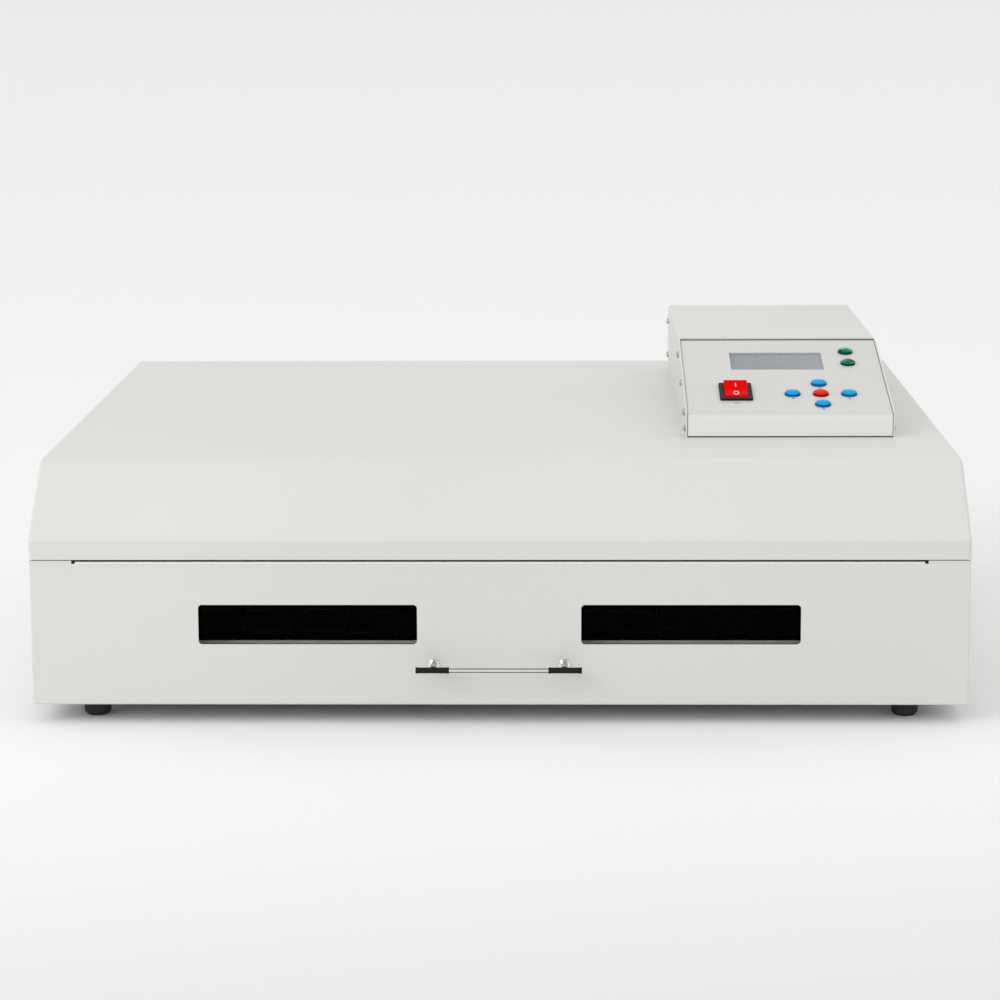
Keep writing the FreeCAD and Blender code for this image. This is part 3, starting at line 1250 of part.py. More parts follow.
def drawer_slides():
    """Telescopic slides: a rail on the chamber wall, a middle rail and a rail on the tray."""
    step = "(slide_sheet + slide_gap)"
    outer = RAIL_OUTSIDE
    keep("slide_outer_rails", *rail(outer, f"({outer} - slide_depth)", RAIL_LOW, RAIL_TOP, True))
    middle = f"({outer} - {step})"
    keep("slide_middle_rails", *rail(middle, f"({outer} - slide_depth + slide_gap)",
                                     f"({RAIL_LOW} + {step})", f"({RAIL_TOP} - {step})", True))
    inner = f"({middle} - {step})"
    rails = rail(inner, RAIL_INSIDE, f"({RAIL_LOW} + 2 * {step})", f"({RAIL_TOP} - 2 * {step})", False)
    keep("slide_inner_rails", *rails)


# Control console
def console_shell():
    """Folded console housing: two side walls with inner feet, and a top behind the sloping panel."""
    body = new_body("shell")
    profile = sketched(body, "YZ_Plane", [[
        ("console_front", COVER_TOP), (CONSOLE_REAR, COVER_TOP), (CONSOLE_REAR, CONSOLE_TOP),
        (PANEL_BACK, CONSOLE_TOP), ("console_front", LIP_TOP),
    ]])
    pad(body, profile, "console_width", middle=True)
    top = number(CONSOLE_TOP)
    half = number("console_width / 2")
    fillet(body, "bend_radius", lambda edge: runs_along(edge, "y") and near(edge.CenterOfMass.z, top)
           and near(abs(edge.CenterOfMass.x), half))
    floor = f"({COVER_TOP} + sheet)"
    ceiling = f"({CONSOLE_TOP} - sheet)"
    before = "(console_front - sheet)"
    behind = f"({CONSOLE_REAR} + sheet)"
    room = sketched(body, "YZ_Plane", [[
        (before, floor), (behind, floor), (behind, ceiling), (PANEL_BACK, ceiling),
        (PANEL_BACK, f"{CONSOLE_TOP} + sheet"), (before, f"{CONSOLE_TOP} + sheet"),
    ]])
    pocket(body, room, f"2 * {CONSOLE_INSIDE}", middle=True)
    foot = (f"{COVER_TOP} - sheet", f"{floor} + sheet")
    mouth = sketched(body, "YZ_Plane", [rectangle((before, behind), foot)])
    pocket(body, mouth, "console_width - 2 * console_flange", middle=True)
    ends = sketched(body, "YZ_Plane", [
        rectangle((before, "console_front + panel_return + panel_sink + fit_gap"), foot),
        rectangle((f"{CONSOLE_REAR} - panel_return - fit_gap", behind), foot),
    ])
    pocket(body, ends, f"2 * {CONSOLE_INSIDE}", middle=True)
    place(body, CONSOLE_AT, SETBACK)
    keep("console_shell", body, placed=True)


def console_screw_spots():
    """Where screws go into the console's sides, as (y, z)."""
    slope = "panel_slope"
    spots = []
    for index in range(3):
        along = f"(slope_screw_start + {index} * slope_screw_pitch)"
        spots.append((f"(console_front + {along} * cos({slope}) + console_screw_depth * sin({slope}))",
                      f"({LIP_TOP} + {along} * sin({slope}) - console_screw_depth * cos({slope}))"))
    spots.append(("(console_front + console_screw_depth - sheet)", f"({COVER_TOP} + lip_screw_lift)"))
    for index in range(2):
        spots.append((f"({CONSOLE_REAR} - console_screw_depth)",
                      f"({COVER_TOP} + rear_screw_low + {index} * rear_screw_pitch)"))
    return spots


def lip_turn(depth):
    """Corner of the panel's section at a depth under its outer faces."""
    return (f"{depth} * (1 - sin(panel_slope)) / cos(panel_slope)", minus(depth))


def lip_end(depth, extra):
    """Lower end of the panel's lip, at a depth behind its outer face."""
    down = f"(lip_height - panel_sink * cos(panel_slope) - lip_gap + {extra})"
    return (f"{depth} * cos(panel_slope) - {down} * sin(panel_slope)",
            f"-{depth} * sin(panel_slope) - {down} * cos(panel_slope)")


def control_panel():
    """Sloping panel folded down into the lip, with side edges that take the console's screws."""
    body = new_body("panel")
    end = "(panel_length - panel_gap)"
    section = [(end, "0"), lip_turn("0"), lip_end("0", "0"), lip_end("panel_return", "0"),
               lip_turn("panel_return"), (end, "-panel_return")]
    pad(body, sketched(body, "YZ_Plane", [section]), f"2 * {PANEL_SIDE}", middle=True)
    fillet(body, "bend_radius", lambda edge: runs_along(edge, "x") and near(edge.CenterOfMass.y, 0)
           and near(edge.CenterOfMass.z, 0))
    deep = "(panel_return + sheet)"
    hollow = [(f"{end} + sheet", "-sheet"), lip_turn("sheet"), lip_end("sheet", "sheet"),
              lip_end(deep, "sheet"), lip_turn(deep), (f"{end} + sheet", minus(deep))]
    pocket(body, sketched(body, "YZ_Plane", [hollow]), f"2 * ({PANEL_SIDE} - sheet)", middle=True)
    half = "(display_width / 2)"
    edge = "(display_height / 2)"
    well = "(switch_width / 2 - bezel_rim + fit_gap)"
    wall = "(switch_length / 2 - bezel_rim + fit_gap)"
    openings = [
        rectangle((f"display_across - {half}", f"display_across + {half}"),
                  (f"display_along - {edge}", f"display_along + {edge}")),
        rectangle((f"switch_across - {well}", f"switch_across + {well}"),
                  (f"switch_along - {wall}", f"switch_along + {wall}")),
    ]
    circles = [(across, along, "key_width + 2 * key_gap") for _, across, along in key_spots()]
    circles += [("beacon_across", along, "beacon_shank + 2 * fit_gap") for along in beacon_spots()]
    pocket(body, sketched(body, "XY_Plane", openings, circles), "2 * sheet")
    on_panel(body, "0", "0")
    keep("console_panel", body, placed=True)


def key_spots():
    return [
        ("up_button", "key_across", "(key_along + key_pitch)"),
        ("down_button", "key_across", "(key_along - key_pitch)"),
        ("left_button", "(key_across - key_pitch)", "key_along"),
        ("right_button", "(key_across + key_pitch)", "key_along"),
        ("select_button", "key_across", "key_along"),
    ]


def beacon_spots():
    return ("beacon_along", "(beacon_along - beacon_pitch)")


def console_back():
    """Rear wall of the console, with side edges that take its screws."""
    body = new_body("back")
    low = f"({COVER_TOP} + fit_gap)"
    top = f"({CONSOLE_TOP} - sheet - fit_gap)"
    front = f"({CONSOLE_REAR} - panel_return)"
    outside = rectangle((minus(PANEL_SIDE), PANEL_SIDE), (low, top))
    pad(body, sketched(body, "XZ_Plane", [outside], lift=minus(front)), "panel_return", back=True)
    inside = f"({PANEL_SIDE} - sheet)"
    room = rectangle((minus(inside), inside), (f"{low} + sheet", f"{top} + sheet"))
    pocket(body, sketched(body, "XZ_Plane", [room], lift=minus(front)), "panel_return - sheet")
    place(body, CONSOLE_AT, SETBACK)
    keep("console_back", body, placed=True)


def console_screws(screw):
    spots = console_screw_spots()
    face = "(console_width / 2)"
    rights = [(f"{CONSOLE_AT} + {face}", y, z, TURNS["+x"]) for y, z in spots]
    lefts = [(f"{CONSOLE_AT} - {face}", y, z, TURNS["-x"]) for y, z in spots]
    keep("console_screws", *copies(screw, rights + lefts))


def display():
    """Display window behind its opening, on the display module and its board."""
    side = "(display_width / 2 + display_margin)"
    edge = "(display_height / 2 + display_margin)"
    top = "(-sheet - fit_gap)"
    window = new_body("display_window")
    pad(window, sketched(window, "XY_Plane", [rectangle((minus(side), side), (minus(edge), edge))],
                         lift=f"{top} - display_glass"), "display_glass")
    module = new_body("display_module")
    board_side = f"({side} + display_board_margin)"
    board_edge = f"({edge} + display_board_margin)"
    plate = rectangle((minus(board_side), board_side), (minus(board_edge), board_edge))
    pad(module, sketched(module, "XY_Plane", [plate], lift=BOARD_FACE), "board_sheet", back=True)
    frame = rectangle((minus(side), side), (minus(edge), edge))
    pad(module, sketched(module, "XY_Plane", [frame], lift=BOARD_FACE),
        f"{top} - display_glass - fit_gap - {BOARD_FACE}")
    for name, body in (("display_window", window), ("display_module", module)):
        on_panel(body, "display_across", "display_along")
        keep(name, body, placed=True)


CONTROL_RIGHT = "(key_pitch + key_width)"
CONTROL_HIGH = "(key_pitch + key_width)"


def control_board():
    """Board under the push buttons, with one small switch below each of them."""
    board = new_body("control_board")
    left = "(-key_pitch - key_width)"
    low = "(-key_pitch - board_hole_inset)"
    plate = rectangle((left, CONTROL_RIGHT), (low, CONTROL_HIGH))
    pad(board, sketched(board, "XY_Plane", [plate], lift=BOARD_FACE), "board_sheet", back=True)
    on_panel(board, "key_across", "key_along")
    keep("control_board", board, placed=True)
    tact = new_body("tact")
    pad(tact, sketched(tact, "XY_Plane", [square("tact_size / 2")]), "tact_height")
    plunger = sketched(tact, "XY_Plane", [square("tact_plunger / 2")])
    pad(tact, plunger, "tact_height + tact_plunger_height")
    spots = [(f"{across} - key_across", f"{along} - key_along", BOARD_FACE, None)
             for _, across, along in key_spots()]
    group = joined(copies(tact, spots), "Part::Compound")
    on_panel(group, "key_across", "key_along")
    keep("tact_switches", group, placed=True)


def board_spacers():
    """Equal spacers that hold the three circuit boards."""
    spacer = doc.addObject("Part::Prism", "spacer")
    spacer.Polygon = 6
    bind(spacer, Circumradius="standoff_width / 2", Height="board_standoff")
    inset = "board_hole_inset"
    floor_spots = [(f"({x} * ({BOARD_SIDE} - {inset}))", y, BASE_FLOOR, None)
                   for x in (-1, 1) for y in (f"{BOARD_FRONT} + {inset}", f"{BOARD_BACK} - {inset}")]
    side = "(display_width / 2 + display_margin + display_board_margin - standoff_width / 2)"
    edge = "(display_height / 2 + display_margin + display_board_margin - standoff_width / 2)"
    panel_spots = [(f"display_across + {x} * {side}", f"display_along + {y} * {edge}", BOARD_FACE, None)
                   for x in (-1, 1) for y in (-1, 1)]
    for x in ("(-key_pitch - key_width + board_hole_inset)", f"({CONTROL_RIGHT} - board_hole_inset)"):
        for y in ("(-key_pitch)", f"({CONTROL_HIGH} - board_hole_inset)"):
            panel_spots.append((f"key_across + {x}", f"key_along + {y}", BOARD_FACE, None))
    on_floor = joined(copies(spacer, floor_spots), "Part::Compound")
    under_panel = joined(copies(spacer, panel_spots), "Part::Compound")
    on_panel(under_panel, "0", "0", setback="0")
    keep("board_spacers", on_floor, under_panel)


def push_button(name, across, along):
    """Domed push button with a flange under the panel and a stem over its switch."""
    body = new_body(name)
    seat = "(-sheet - fit_gap / 2)"
    plunger = f"({BOARD_FACE} + tact_height + tact_plunger_height)"
    stem_end = f"({plunger} + key_travel + fit_gap)"
    rim = "(key_width / 2)"
    flange = f"({rim} + key_flange)"
    profile = sketched(body, "XZ_Plane", [[
        ("0", stem_end), ("key_stem / 2", stem_end), ("key_stem / 2", f"{seat} - sheet"),
        (flange, f"{seat} - sheet"), (flange, seat), (rim, seat), *crown(rim, "key_rim", "key_height"),
    ]])
    revolve(body, profile)
    on_panel(body, across, along)
    keep(name, body, placed=True)


def power_switch():
    """Switch housing with a well for its rocker, and the rocker on its two pins."""
    body = new_body("switch_body")
    bezel_side = "(switch_width / 2)"
    bezel_edge = "(switch_length / 2)"
    bezel = rounded((minus(bezel_side), bezel_side), (minus(bezel_edge), bezel_edge), "bezel_rim")
    pad(body, sketched(body, "XY_Plane", [bezel]), "bezel_height")
    case_side = "(switch_width / 2 - bezel_rim)"
    case_edge = "(switch_length / 2 - bezel_rim)"
    case = rectangle((minus(case_side), case_side), (minus(case_edge), case_edge))
    pad(body, sketched(body, "XY_Plane", [case]), "switch_depth", back=True)
    well_side = "(rocker_width / 2 + rocker_gap)"
    well_edge = "(rocker_radius + rocker_gap)"
    well = rectangle((minus(well_side), well_side), (minus(well_edge), well_edge))
    pocket(body, sketched(body, "XY_Plane", [well], lift="bezel_height"), "bezel_height + switch_well")
    pivot = sketched(body, "YZ_Plane", [], [("0", "-rocker_pivot", "rocker_pin + 2 * shaft_gap")])
    pocket(body, pivot, f"2 * {well_side} + 2 * bezel_rim", middle=True)
    for index in (-1, 0, 1):
        along = f"({index} * switch_length / 4)"
        tab = rectangle(("-tab_width / 2", "tab_width / 2"),
                        (f"{along} - tab_thickness / 2", f"{along} + tab_thickness / 2"))
        pad(body, sketched(body, "XY_Plane", [tab], lift="-switch_depth"), "tab_length", back=True)
    on_panel(body, "switch_across", "switch_along")
    keep("switch_body", body, placed=True)
    rocker = new_body("power_rocker")
    end = "sqrt(rocker_radius ^ 2 - rocker_crest ^ 2)"
    low = "(-rocker_pin / 2)"
    low_end = f"sqrt(rocker_radius ^ 2 - {low} ^ 2)"
    keel = "(rocker_crest * 0.8)"
    profile = sketched(rocker, "YZ_Plane", [[
        ("-rocker_pin", minus(keel)), ("rocker_pin", minus(keel)), (low_end, low, "rocker_radius"),
        (end, "rocker_crest"), ("0", "rocker_valley"), (f"-{end}", "rocker_crest", "rocker_radius"),
        (f"-{low_end}", low),
    ]])
    pad(rocker, profile, "rocker_width", middle=True)
    pins = sketched(rocker, "YZ_Plane", [], [("0", "0", "rocker_pin")])
    pad(rocker, pins, "rocker_width + 2 * rocker_gap + 1.6 * bezel_rim", middle=True)
    on_panel(rocker, "switch_across", "switch_along", "-rocker_pivot", "rocker_tilt")
    keep("power_rocker", rocker, placed=True)


def indicator_lamps():
    """Two indicator lamps: a domed lens over a round body in the panel."""
    body = new_body("beacon")
    lens = "(beacon_width / 2)"
    profile = sketched(body, "XZ_Plane", [[
        ("0", "-beacon_depth"), ("beacon_shank / 2", "-beacon_depth"), ("beacon_shank / 2", "0"),
        (lens, "0"), *crown(lens, "beacon_height * 0.4", "beacon_height"),
    ]])
    revolve(body, profile)
    spots = [("beacon_across", along, "0", None) for along in beacon_spots()]
    group = joined(copies(body, spots), "Part::Compound")
    on_panel(group, "0", "0")
    keep("indicator_lamps", group, placed=True)


def cable_grommet():
    """Rubber ring in the cover's cable hole under the console."""
    body = new_body("cable_grommet")
    bore = square("(grommet_hole / 2 - grommet_wall)")
    neck = square("(grommet_hole / 2 - fit_gap)")
    brim = square("(grommet_hole / 2 + grommet_lip)")
    low = "(-sheet - fit_gap)"
    rings = ((brim, f"({low} - grommet_wall)", "grommet_wall"), (neck, low, "(sheet + 2 * fit_gap)"),
             (brim, "fit_gap", "grommet_wall"))
    for outline, level, height in rings:
        pad(body, sketched(body, "XY_Plane", [outline, bore], lift=level), height)
    place(body, CONSOLE_AT, f"{SETBACK} + {CONSOLE_REAR} - grommet_rear_gap", COVER_TOP)
    body.Label = "cable_grommet"
    pieces.append(body)


def build():
    """Make every sub-part."""
    bolt = screw_head("bolt", 6)
    screw = screw_head("screw", 8)
    base_tub()
    front_frame()
    top_cover()
    rear_panel()
    rubber_feet()
    casing_screws(bolt)
    chamber_liner()
    insulation()
    heating_lamps()
    lamp_reflector()
    thermocouples()
    exhaust_ducts()
    fan_frames()
    for name, x in zip(("left_fan_rotor", "right_fan_rotor"), fan_spots()):
        fan_rotor(name, x)
    fan_guards(bolt)
    power_inlet(screw)
    power_electronics()
    drawer_front()
    drawer_liner()
    drawer_wadding()
    window_panes()
    drawer_handle(bolt)
    tray(bolt)
    drawer_slides()
    console_shell()
    control_panel()
    console_back()
    console_screws(screw)
    display()
    control_board()
    board_spacers()
    for name, across, along in key_spots():
        push_button(name, across, along)
    power_switch()
    indicator_lamps()
    cable_grommet()


def check():
    """Stop unless every object is computed and every sub-part is a valid shape."""
    doc.recompute()
    failed = [thing.Label for thing in doc.Objects if {"Invalid", "Error"} & set(thing.State)]
    if failed:
        raise ValueError(f"not computed: {failed}")
    bad = [piece.Label for piece in pieces if piece.Shape.isNull() or not piece.Shape.isValid()]
    if bad:
        raise ValueError(f"not valid: {bad}")


def export():
    os.makedirs("parts", exist_ok=True)
    for piece in pieces:
        piece.Shape.exportStep(f"parts/{piece.Label}.step")
    print(f"{len(pieces)} sub-parts written")


fill_sheet()
build()
check()
export()
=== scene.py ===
# %% [markdown]
# # Dressing a drawer reflow oven
# The oven arrives as a finished mechanical model: sixty sheet-metal, glass, rubber and plastic pieces that
# already sit at their real sizes, in metres, and that already ride on the bodies that move. This lesson
# gives each of them the surface it has on a workbench, adds the small things that are printed or soft, and
# sets up one soft studio photograph. Nothing of the model is moved: every step paints a piece, lays a new
# one on it, or puts a finer one in its place.

# %% Load the model
import json
import math
import bmesh
import bpy
from mathutils import Matrix, Vector, noise


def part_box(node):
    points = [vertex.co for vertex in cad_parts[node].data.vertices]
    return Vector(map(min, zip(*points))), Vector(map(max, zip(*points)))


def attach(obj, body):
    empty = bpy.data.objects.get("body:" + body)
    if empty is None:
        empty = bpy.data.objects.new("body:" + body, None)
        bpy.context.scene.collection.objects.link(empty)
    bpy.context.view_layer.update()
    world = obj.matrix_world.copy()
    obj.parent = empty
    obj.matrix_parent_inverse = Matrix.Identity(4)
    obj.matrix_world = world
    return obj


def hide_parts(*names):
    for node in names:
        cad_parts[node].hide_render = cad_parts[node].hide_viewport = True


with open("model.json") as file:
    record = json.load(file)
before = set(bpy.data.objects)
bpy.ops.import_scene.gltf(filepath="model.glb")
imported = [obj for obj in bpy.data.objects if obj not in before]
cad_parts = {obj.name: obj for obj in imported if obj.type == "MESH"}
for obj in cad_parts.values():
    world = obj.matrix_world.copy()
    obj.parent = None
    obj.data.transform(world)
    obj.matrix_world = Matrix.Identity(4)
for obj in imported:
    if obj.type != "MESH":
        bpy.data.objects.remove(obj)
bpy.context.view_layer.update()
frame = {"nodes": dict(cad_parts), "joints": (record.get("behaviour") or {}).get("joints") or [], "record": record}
nodes = frame["nodes"]
scene = bpy.context.scene

# %% [markdown]
# ## The camera
# The picture was taken with a long lens from about a third of a metre above the console, so upright edges
# stay nearly parallel. A camera can be aimed with a tracking constraint, but a constraint hides the
# angles. Here the three angles are written out, turned into the camera's own right, up and back
# directions, and put into one matrix.

# %% Place the camera
LENS_MM = 112.03
SENSOR_MM = 36
CAMERA_BEFORE_FRONT = 2.37174
CAMERA_ACROSS = 0.04627
CAMERA_HEIGHT = 0.597
CAMERA_REACH = 1000
LOOKS_DOWN, LOOKS_RIGHT, LEANS = (math.radians(angle) for angle in (10.012, -1.091, -0.217))


def camera_turn(down, right, lean):
    """Rotation of a camera that looks along +Y, then down, to the right, and leaning."""
    ahead = Vector((math.sin(right) * math.cos(down), math.cos(right) * math.cos(down), -math.sin(down)))
    level = ahead.cross(Vector((0, 0, 1))).normalized()
    upward = level.cross(ahead)
    side = math.cos(lean) * level + math.sin(lean) * upward
    top = math.cos(lean) * upward - math.sin(lean) * level
    return Matrix((side, top, -ahead)).transposed()


drawer_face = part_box("drawer_front")[0].y
eye = bpy.data.cameras.new("studio_camera")
eye.sensor_width = SENSOR_MM
eye.lens = LENS_MM
eye.clip_end = CAMERA_REACH
camera = bpy.data.objects.new("studio_camera", eye)
scene.collection.objects.link(camera)
camera.matrix_world = camera_turn(LOOKS_DOWN, LOOKS_RIGHT, LEANS).to_4x4()
camera.location = (CAMERA_ACROSS, drawer_face - CAMERA_BEFORE_FRONT, CAMERA_HEIGHT)
scene.camera = camera
print("camera at", [round(value, 3) for value in camera.location])

# %% [markdown]
# ## Helpers for shader nodes
# Every finish in this lesson is a Principled shader with a few pattern nodes in front of it. Building node
# trees by hand in the editor is pleasant, but a script repeats itself quickly, so four small helpers carry
# the load: they make a material, add a node, link two sockets and find the shader. A value that is the
# same all over a surface goes straight into the shader's own socket.

# %% Node helpers
def finish(name, **values):
    """A new material whose shader has these sockets set; an underscore stands for a space."""
    made = bpy.data.materials.new(name)
    made.use_nodes = True
    for socket, value in values.items():
        shader_of(made).inputs[socket.replace("_", " ")].default_value = value
    return made


def add(owner, kind, **inputs):
    """A new node in a material or in the world, with its inputs set."""
    node = owner.node_tree.nodes.new("ShaderNode" + kind)
    for socket, value in inputs.items():
        node.inputs[socket.replace("_", " ")].default_value = value
    return node


def lead(owner, source, target):
    owner.node_tree.links.new(source, target)


def shader_of(material):
    return material.node_tree.nodes["Principled BSDF"]


print("node helpers ready")

# %% [markdown]
# ## Helpers for patterns
# A surface comes alive when one pattern drives several things at once: the same fine noise can shift the
# colour, change the roughness and raise the surface. The patterns are laid in the piece's own metres,
# because the model has no UVs and its sizes are real, so a grain of one millimetre is simply written as
# 0.001.

# %% Pattern helpers
def placed(material, stretch=(1, 1, 1)):
    """Coordinates in the piece's own metres, stretched."""
    metres = add(material, "TexCoord")
    spread = add(material, "Mapping", Scale=stretch)
    lead(material, metres.outputs["Object"], spread.inputs["Vector"])
    return spread.outputs["Vector"]


def grain(material, size, stretch=(1, 1, 1), detail=3.0):
    """Noise whose grains are about size metres wide."""
    pattern = add(material, "TexNoise", Scale=1 / size, Detail=detail, Roughness=0.55)
    lead(material, placed(material, stretch), pattern.inputs["Vector"])
    return pattern.outputs["Fac"]


def shade_ramp(owner, pattern, stops):
    """Colours over a pattern; each stop is a pattern value and the colour there."""
    ramp = add(owner, "ValToRGB")
    points = ramp.color_ramp.elements
    while len(points) < len(stops):
        points.new(0.5)
    for point, (value, shade) in zip(points, stops):
        point.position = value
        point.color = (*shade, 1)
    lead(owner, pattern, ramp.inputs["Fac"])
    return ramp.outputs["Color"]


def colour_by(material, pattern, *shades, low=0.3, high=0.7):
    """Colour the surface with shades spread evenly over a pattern's range."""
    stops = [(low + (high - low) * index / (len(shades) - 1), shade) for index, shade in enumerate(shades)]
    lead(material, shade_ramp(material, pattern, stops), shader_of(material).inputs["Base Color"])


def roughen(material, pattern, smooth, rough):
    spread = add(material, "MapRange", To_Min=smooth, To_Max=rough)
    lead(material, pattern, spread.inputs["Value"])
    lead(material, spread.outputs["Result"], shader_of(material).inputs["Roughness"])


def relief(material, pattern, depth, strength):
    """Raise the surface by a pattern; depth is in metres."""
    bump = add(material, "Bump", Distance=depth, Strength=strength)
    lead(material, pattern, bump.inputs["Height"])
    lead(material, bump.outputs["Normal"], shader_of(material).inputs["Normal"])


print("pattern helpers ready")

# %% [markdown]
# ## Painted light and shade that follow the lean of a surface
# Some light and shade on the oven is painted into colours, paler or deeper where a surface turns
# from upright to level: a painted highlight along a fold in the sheet, painted shade on the rim of a
# key, painted reflections on a chromed bar. The Geometry node gives the direction a surface faces, and
# the upward part of it is one number, 0 for upright and 1 for level. A mix node then lays a second shade
# over the first where that number says so.

# %% Lean helpers
def lean_of(material):
    """How far a surface looks up: 0 for upright, 1 for level."""
    facing = add(material, "NewGeometry")
    upward = add(material, "SeparateXYZ")
    lead(material, facing.outputs["Normal"], upward.inputs["Vector"])
    return upward.outputs["Z"]


def tint_by(material, pattern, shade, *stops):
    """Lay a shade over the colour; each stop is a pattern value and the shade's share there."""
    share = shade_ramp(material, pattern, [(value, (amount,) * 3) for value, amount in stops])
    base = shader_of(material).inputs["Base Color"]
    blend = add(material, "MixRGB", Color2=(*shade, 1))
    lead(material, base.links[0].from_socket, blend.inputs["Color1"])
    lead(material, share, blend.inputs["Fac"])
    lead(material, blend.outputs["Color"], base)


print("lean helpers ready")

# %% [markdown]
# ## Cream powder coat
# The casing is folded sheet under a thick satin powder coat. Powder melts into a skin with a fine
# orange-peel relief, about a millimetre from crest to crest, and its cream shade drifts very slightly over
# a large panel. A flat colour would look like paper, so a broad noise shifts the shade, and a fine one
# breaks the highlights. The tight fold along the drawer front's top edge shows a pale line where it
# catches the room's light. It is too small for soft light to draw, so a painted highlight is laid into the
# coat's colour where a surface leans halfway between upright and level: strongly on the drawer front,
# faintly elsewhere. The control panel's coat is painted a shade darker on its slope and paler on its
# upright lip: painted shade and painted light for how the studio light falls on the two faces.

# %% Cream coat
CREAM_DARK, CREAM_LIGHT, FOLD_PAINTED_HIGHLIGHT = (0.652, 0.645, 0.615), (0.678, 0.670, 0.640), (0.90, 0.89, 0.86)
PEEL, DRIFT = 0.0011, 0.35


def powder_coat(name, dark, light):
    coat = finish(name, Coat_Weight=0.12, Coat_Roughness=0.3, Specular_IOR_Level=0.45)
    colour_by(coat, grain(coat, DRIFT, detail=2), dark, light)
    peel = grain(coat, PEEL, detail=2)
    roughen(coat, peel, 0.36, 0.48)
    relief(coat, peel, 0.00003, 0.5)
    return coat


cream = powder_coat("cream_powder_coat", CREAM_DARK, CREAM_LIGHT)
# Painted highlight: a faint paler line where the coat leans halfway between upright and level.
tint_by(cream, lean_of(cream), FOLD_PAINTED_HIGHLIGHT, (0.10, 0), (0.42, 0.12), (0.70, 0))
drawer_coat = powder_coat("cream_drawer_painted_highlight", CREAM_DARK, CREAM_LIGHT)
# Painted highlight: the drawer front's coat turns strongly paler along its top fold.
tint_by(drawer_coat, lean_of(drawer_coat), FOLD_PAINTED_HIGHLIGHT, (0.08, 0), (0.35, 1), (0.80, 1), (0.98, 0))
# Painted shade and light: the panel's slope is painted darker than the cream, its upright lip paler.
panel_coat = powder_coat("cream_panel_painted_shade_and_light", (0.606, 0.600, 0.572), (0.630, 0.623, 0.595))
tint_by(panel_coat, lean_of(panel_coat), (0.80, 0.79, 0.755), (0.10, 1), (0.70, 0))
grey_iron = powder_coat("grey_varnished_iron", (0.22, 0.22, 0.22), (0.30, 0.30, 0.29))
print("made", cream.name, drawer_coat.name, panel_coat.name, grey_iron.name)

# %% [markdown]
# ## Bare metals
# Inside the casing most parts are bare sheet. Rolled sheet has long fine lines along the rolling
# direction, and zinc plating has soft cloudy patches. Both are noise: stretched fifty times in one
# direction for rolled sheet, left round for zinc. The chamber's sheet is painted near black and not
# metallic, a painted shade that keeps the inside dark behind the drawer's windows.

# %% Steel, zinc and aluminium
ROLLING_LINE = 0.0009
STRETCHED = {"x": (0.02, 1, 1), "y": (1, 0.02, 1)}


def rolled(name, dark, light, smooth, rough, along="x", **values):
    """Bare sheet with rolling lines along one axis."""
    sheet = finish(name, **{"Metallic": 1.0, **values})
    lines = grain(sheet, ROLLING_LINE, STRETCHED[along], detail=4)
    colour_by(sheet, lines, dark, light)
    roughen(sheet, lines, smooth, rough)
    relief(sheet, lines, 0.00001, 0.4)
    return sheet


def plated(name, dark, light, smooth, rough, cloud):
    """Plated metal with soft cloudy patches."""
    plate = finish(name, Metallic=1.0)
    clouds = grain(plate, cloud, detail=4)
    colour_by(plate, clouds, dark, light)
    roughen(plate, clouds, smooth, rough)
    return plate


steel = rolled("rolled_bright_steel", (0.50, 0.50, 0.49), (0.66, 0.66, 0.64), 0.2, 0.34)
rail_zinc = rolled("drawn_zinc_rail", (0.42, 0.44, 0.46), (0.60, 0.61, 0.62), 0.24, 0.4, "y")
mirror = rolled("bright_reflector_sheet", (0.78, 0.78, 0.78), (0.88, 0.88, 0.88), 0.08, 0.16)
satin_sheet = rolled("satin_tray_sheet", (0.76, 0.76, 0.74), (0.88, 0.88, 0.86), 0.45, 0.6, Metallic=0.25)
dull_aluminium = rolled("drawn_aluminium", (0.50, 0.51, 0.52), (0.62, 0.63, 0.64), 0.38, 0.52, "y")
# Painted shade: near-black, non-metallic sheet for the chamber, the drawer's liner and the tray's wires.
painted_shade_steel = rolled("painted_shade_steel", (0.012, 0.011, 0.010), (0.034, 0.031, 0.028), 0.6, 0.8,
                     Metallic=0.0, Specular_IOR_Level=0.08)
zinc = plated("zinc_plate", (0.46, 0.47, 0.49), (0.66, 0.67, 0.68), 0.22, 0.42, 0.004)
nickel = plated("nickel_contact", (0.55, 0.53, 0.48), (0.70, 0.68, 0.62), 0.2, 0.35, 0.003)
bolt_zinc = plated("bright_screw_zinc", (0.34, 0.35, 0.36), (0.50, 0.51, 0.52), 0.10, 0.2, 0.003)
print("six rolled and three plated metals")

# %% [markdown]
# ## Chrome
# The handle's bar and posts and the fans' guards are chromed. Chrome is nearly a mirror: low down it shows
# the dark line where the oven meets the floor, in the middle the white room, and on top a greyer band. A
# mirror needs a room full of things to reflect, and this studio is nearly empty, so these reflections are
# painted into the colour instead: a painted reflection that follows the surface's own upward direction,
# dark below, white in the middle and grey on top.

# %% Polished chrome
chrome = finish("chrome_painted_reflection", Metallic=1.0)
from_below = add(chrome, "MapRange", From_Min=-1.0, From_Max=1.0)
lead(chrome, lean_of(chrome), from_below.inputs["Value"])
# Painted reflection: dark where the surface looks down, white where it looks out, grey where it looks up.
colour_by(chrome, from_below.outputs["Result"], (0.05, 0.045, 0.04), (0.07, 0.065, 0.06), (0.88, 0.87, 0.85),
          (0.90, 0.89, 0.87), (0.30, 0.29, 0.28), (0.42, 0.41, 0.40), low=0.05, high=0.95)
roughen(chrome, grain(chrome, 0.02, detail=4), 0.06, 0.14)
print("made", chrome.name)

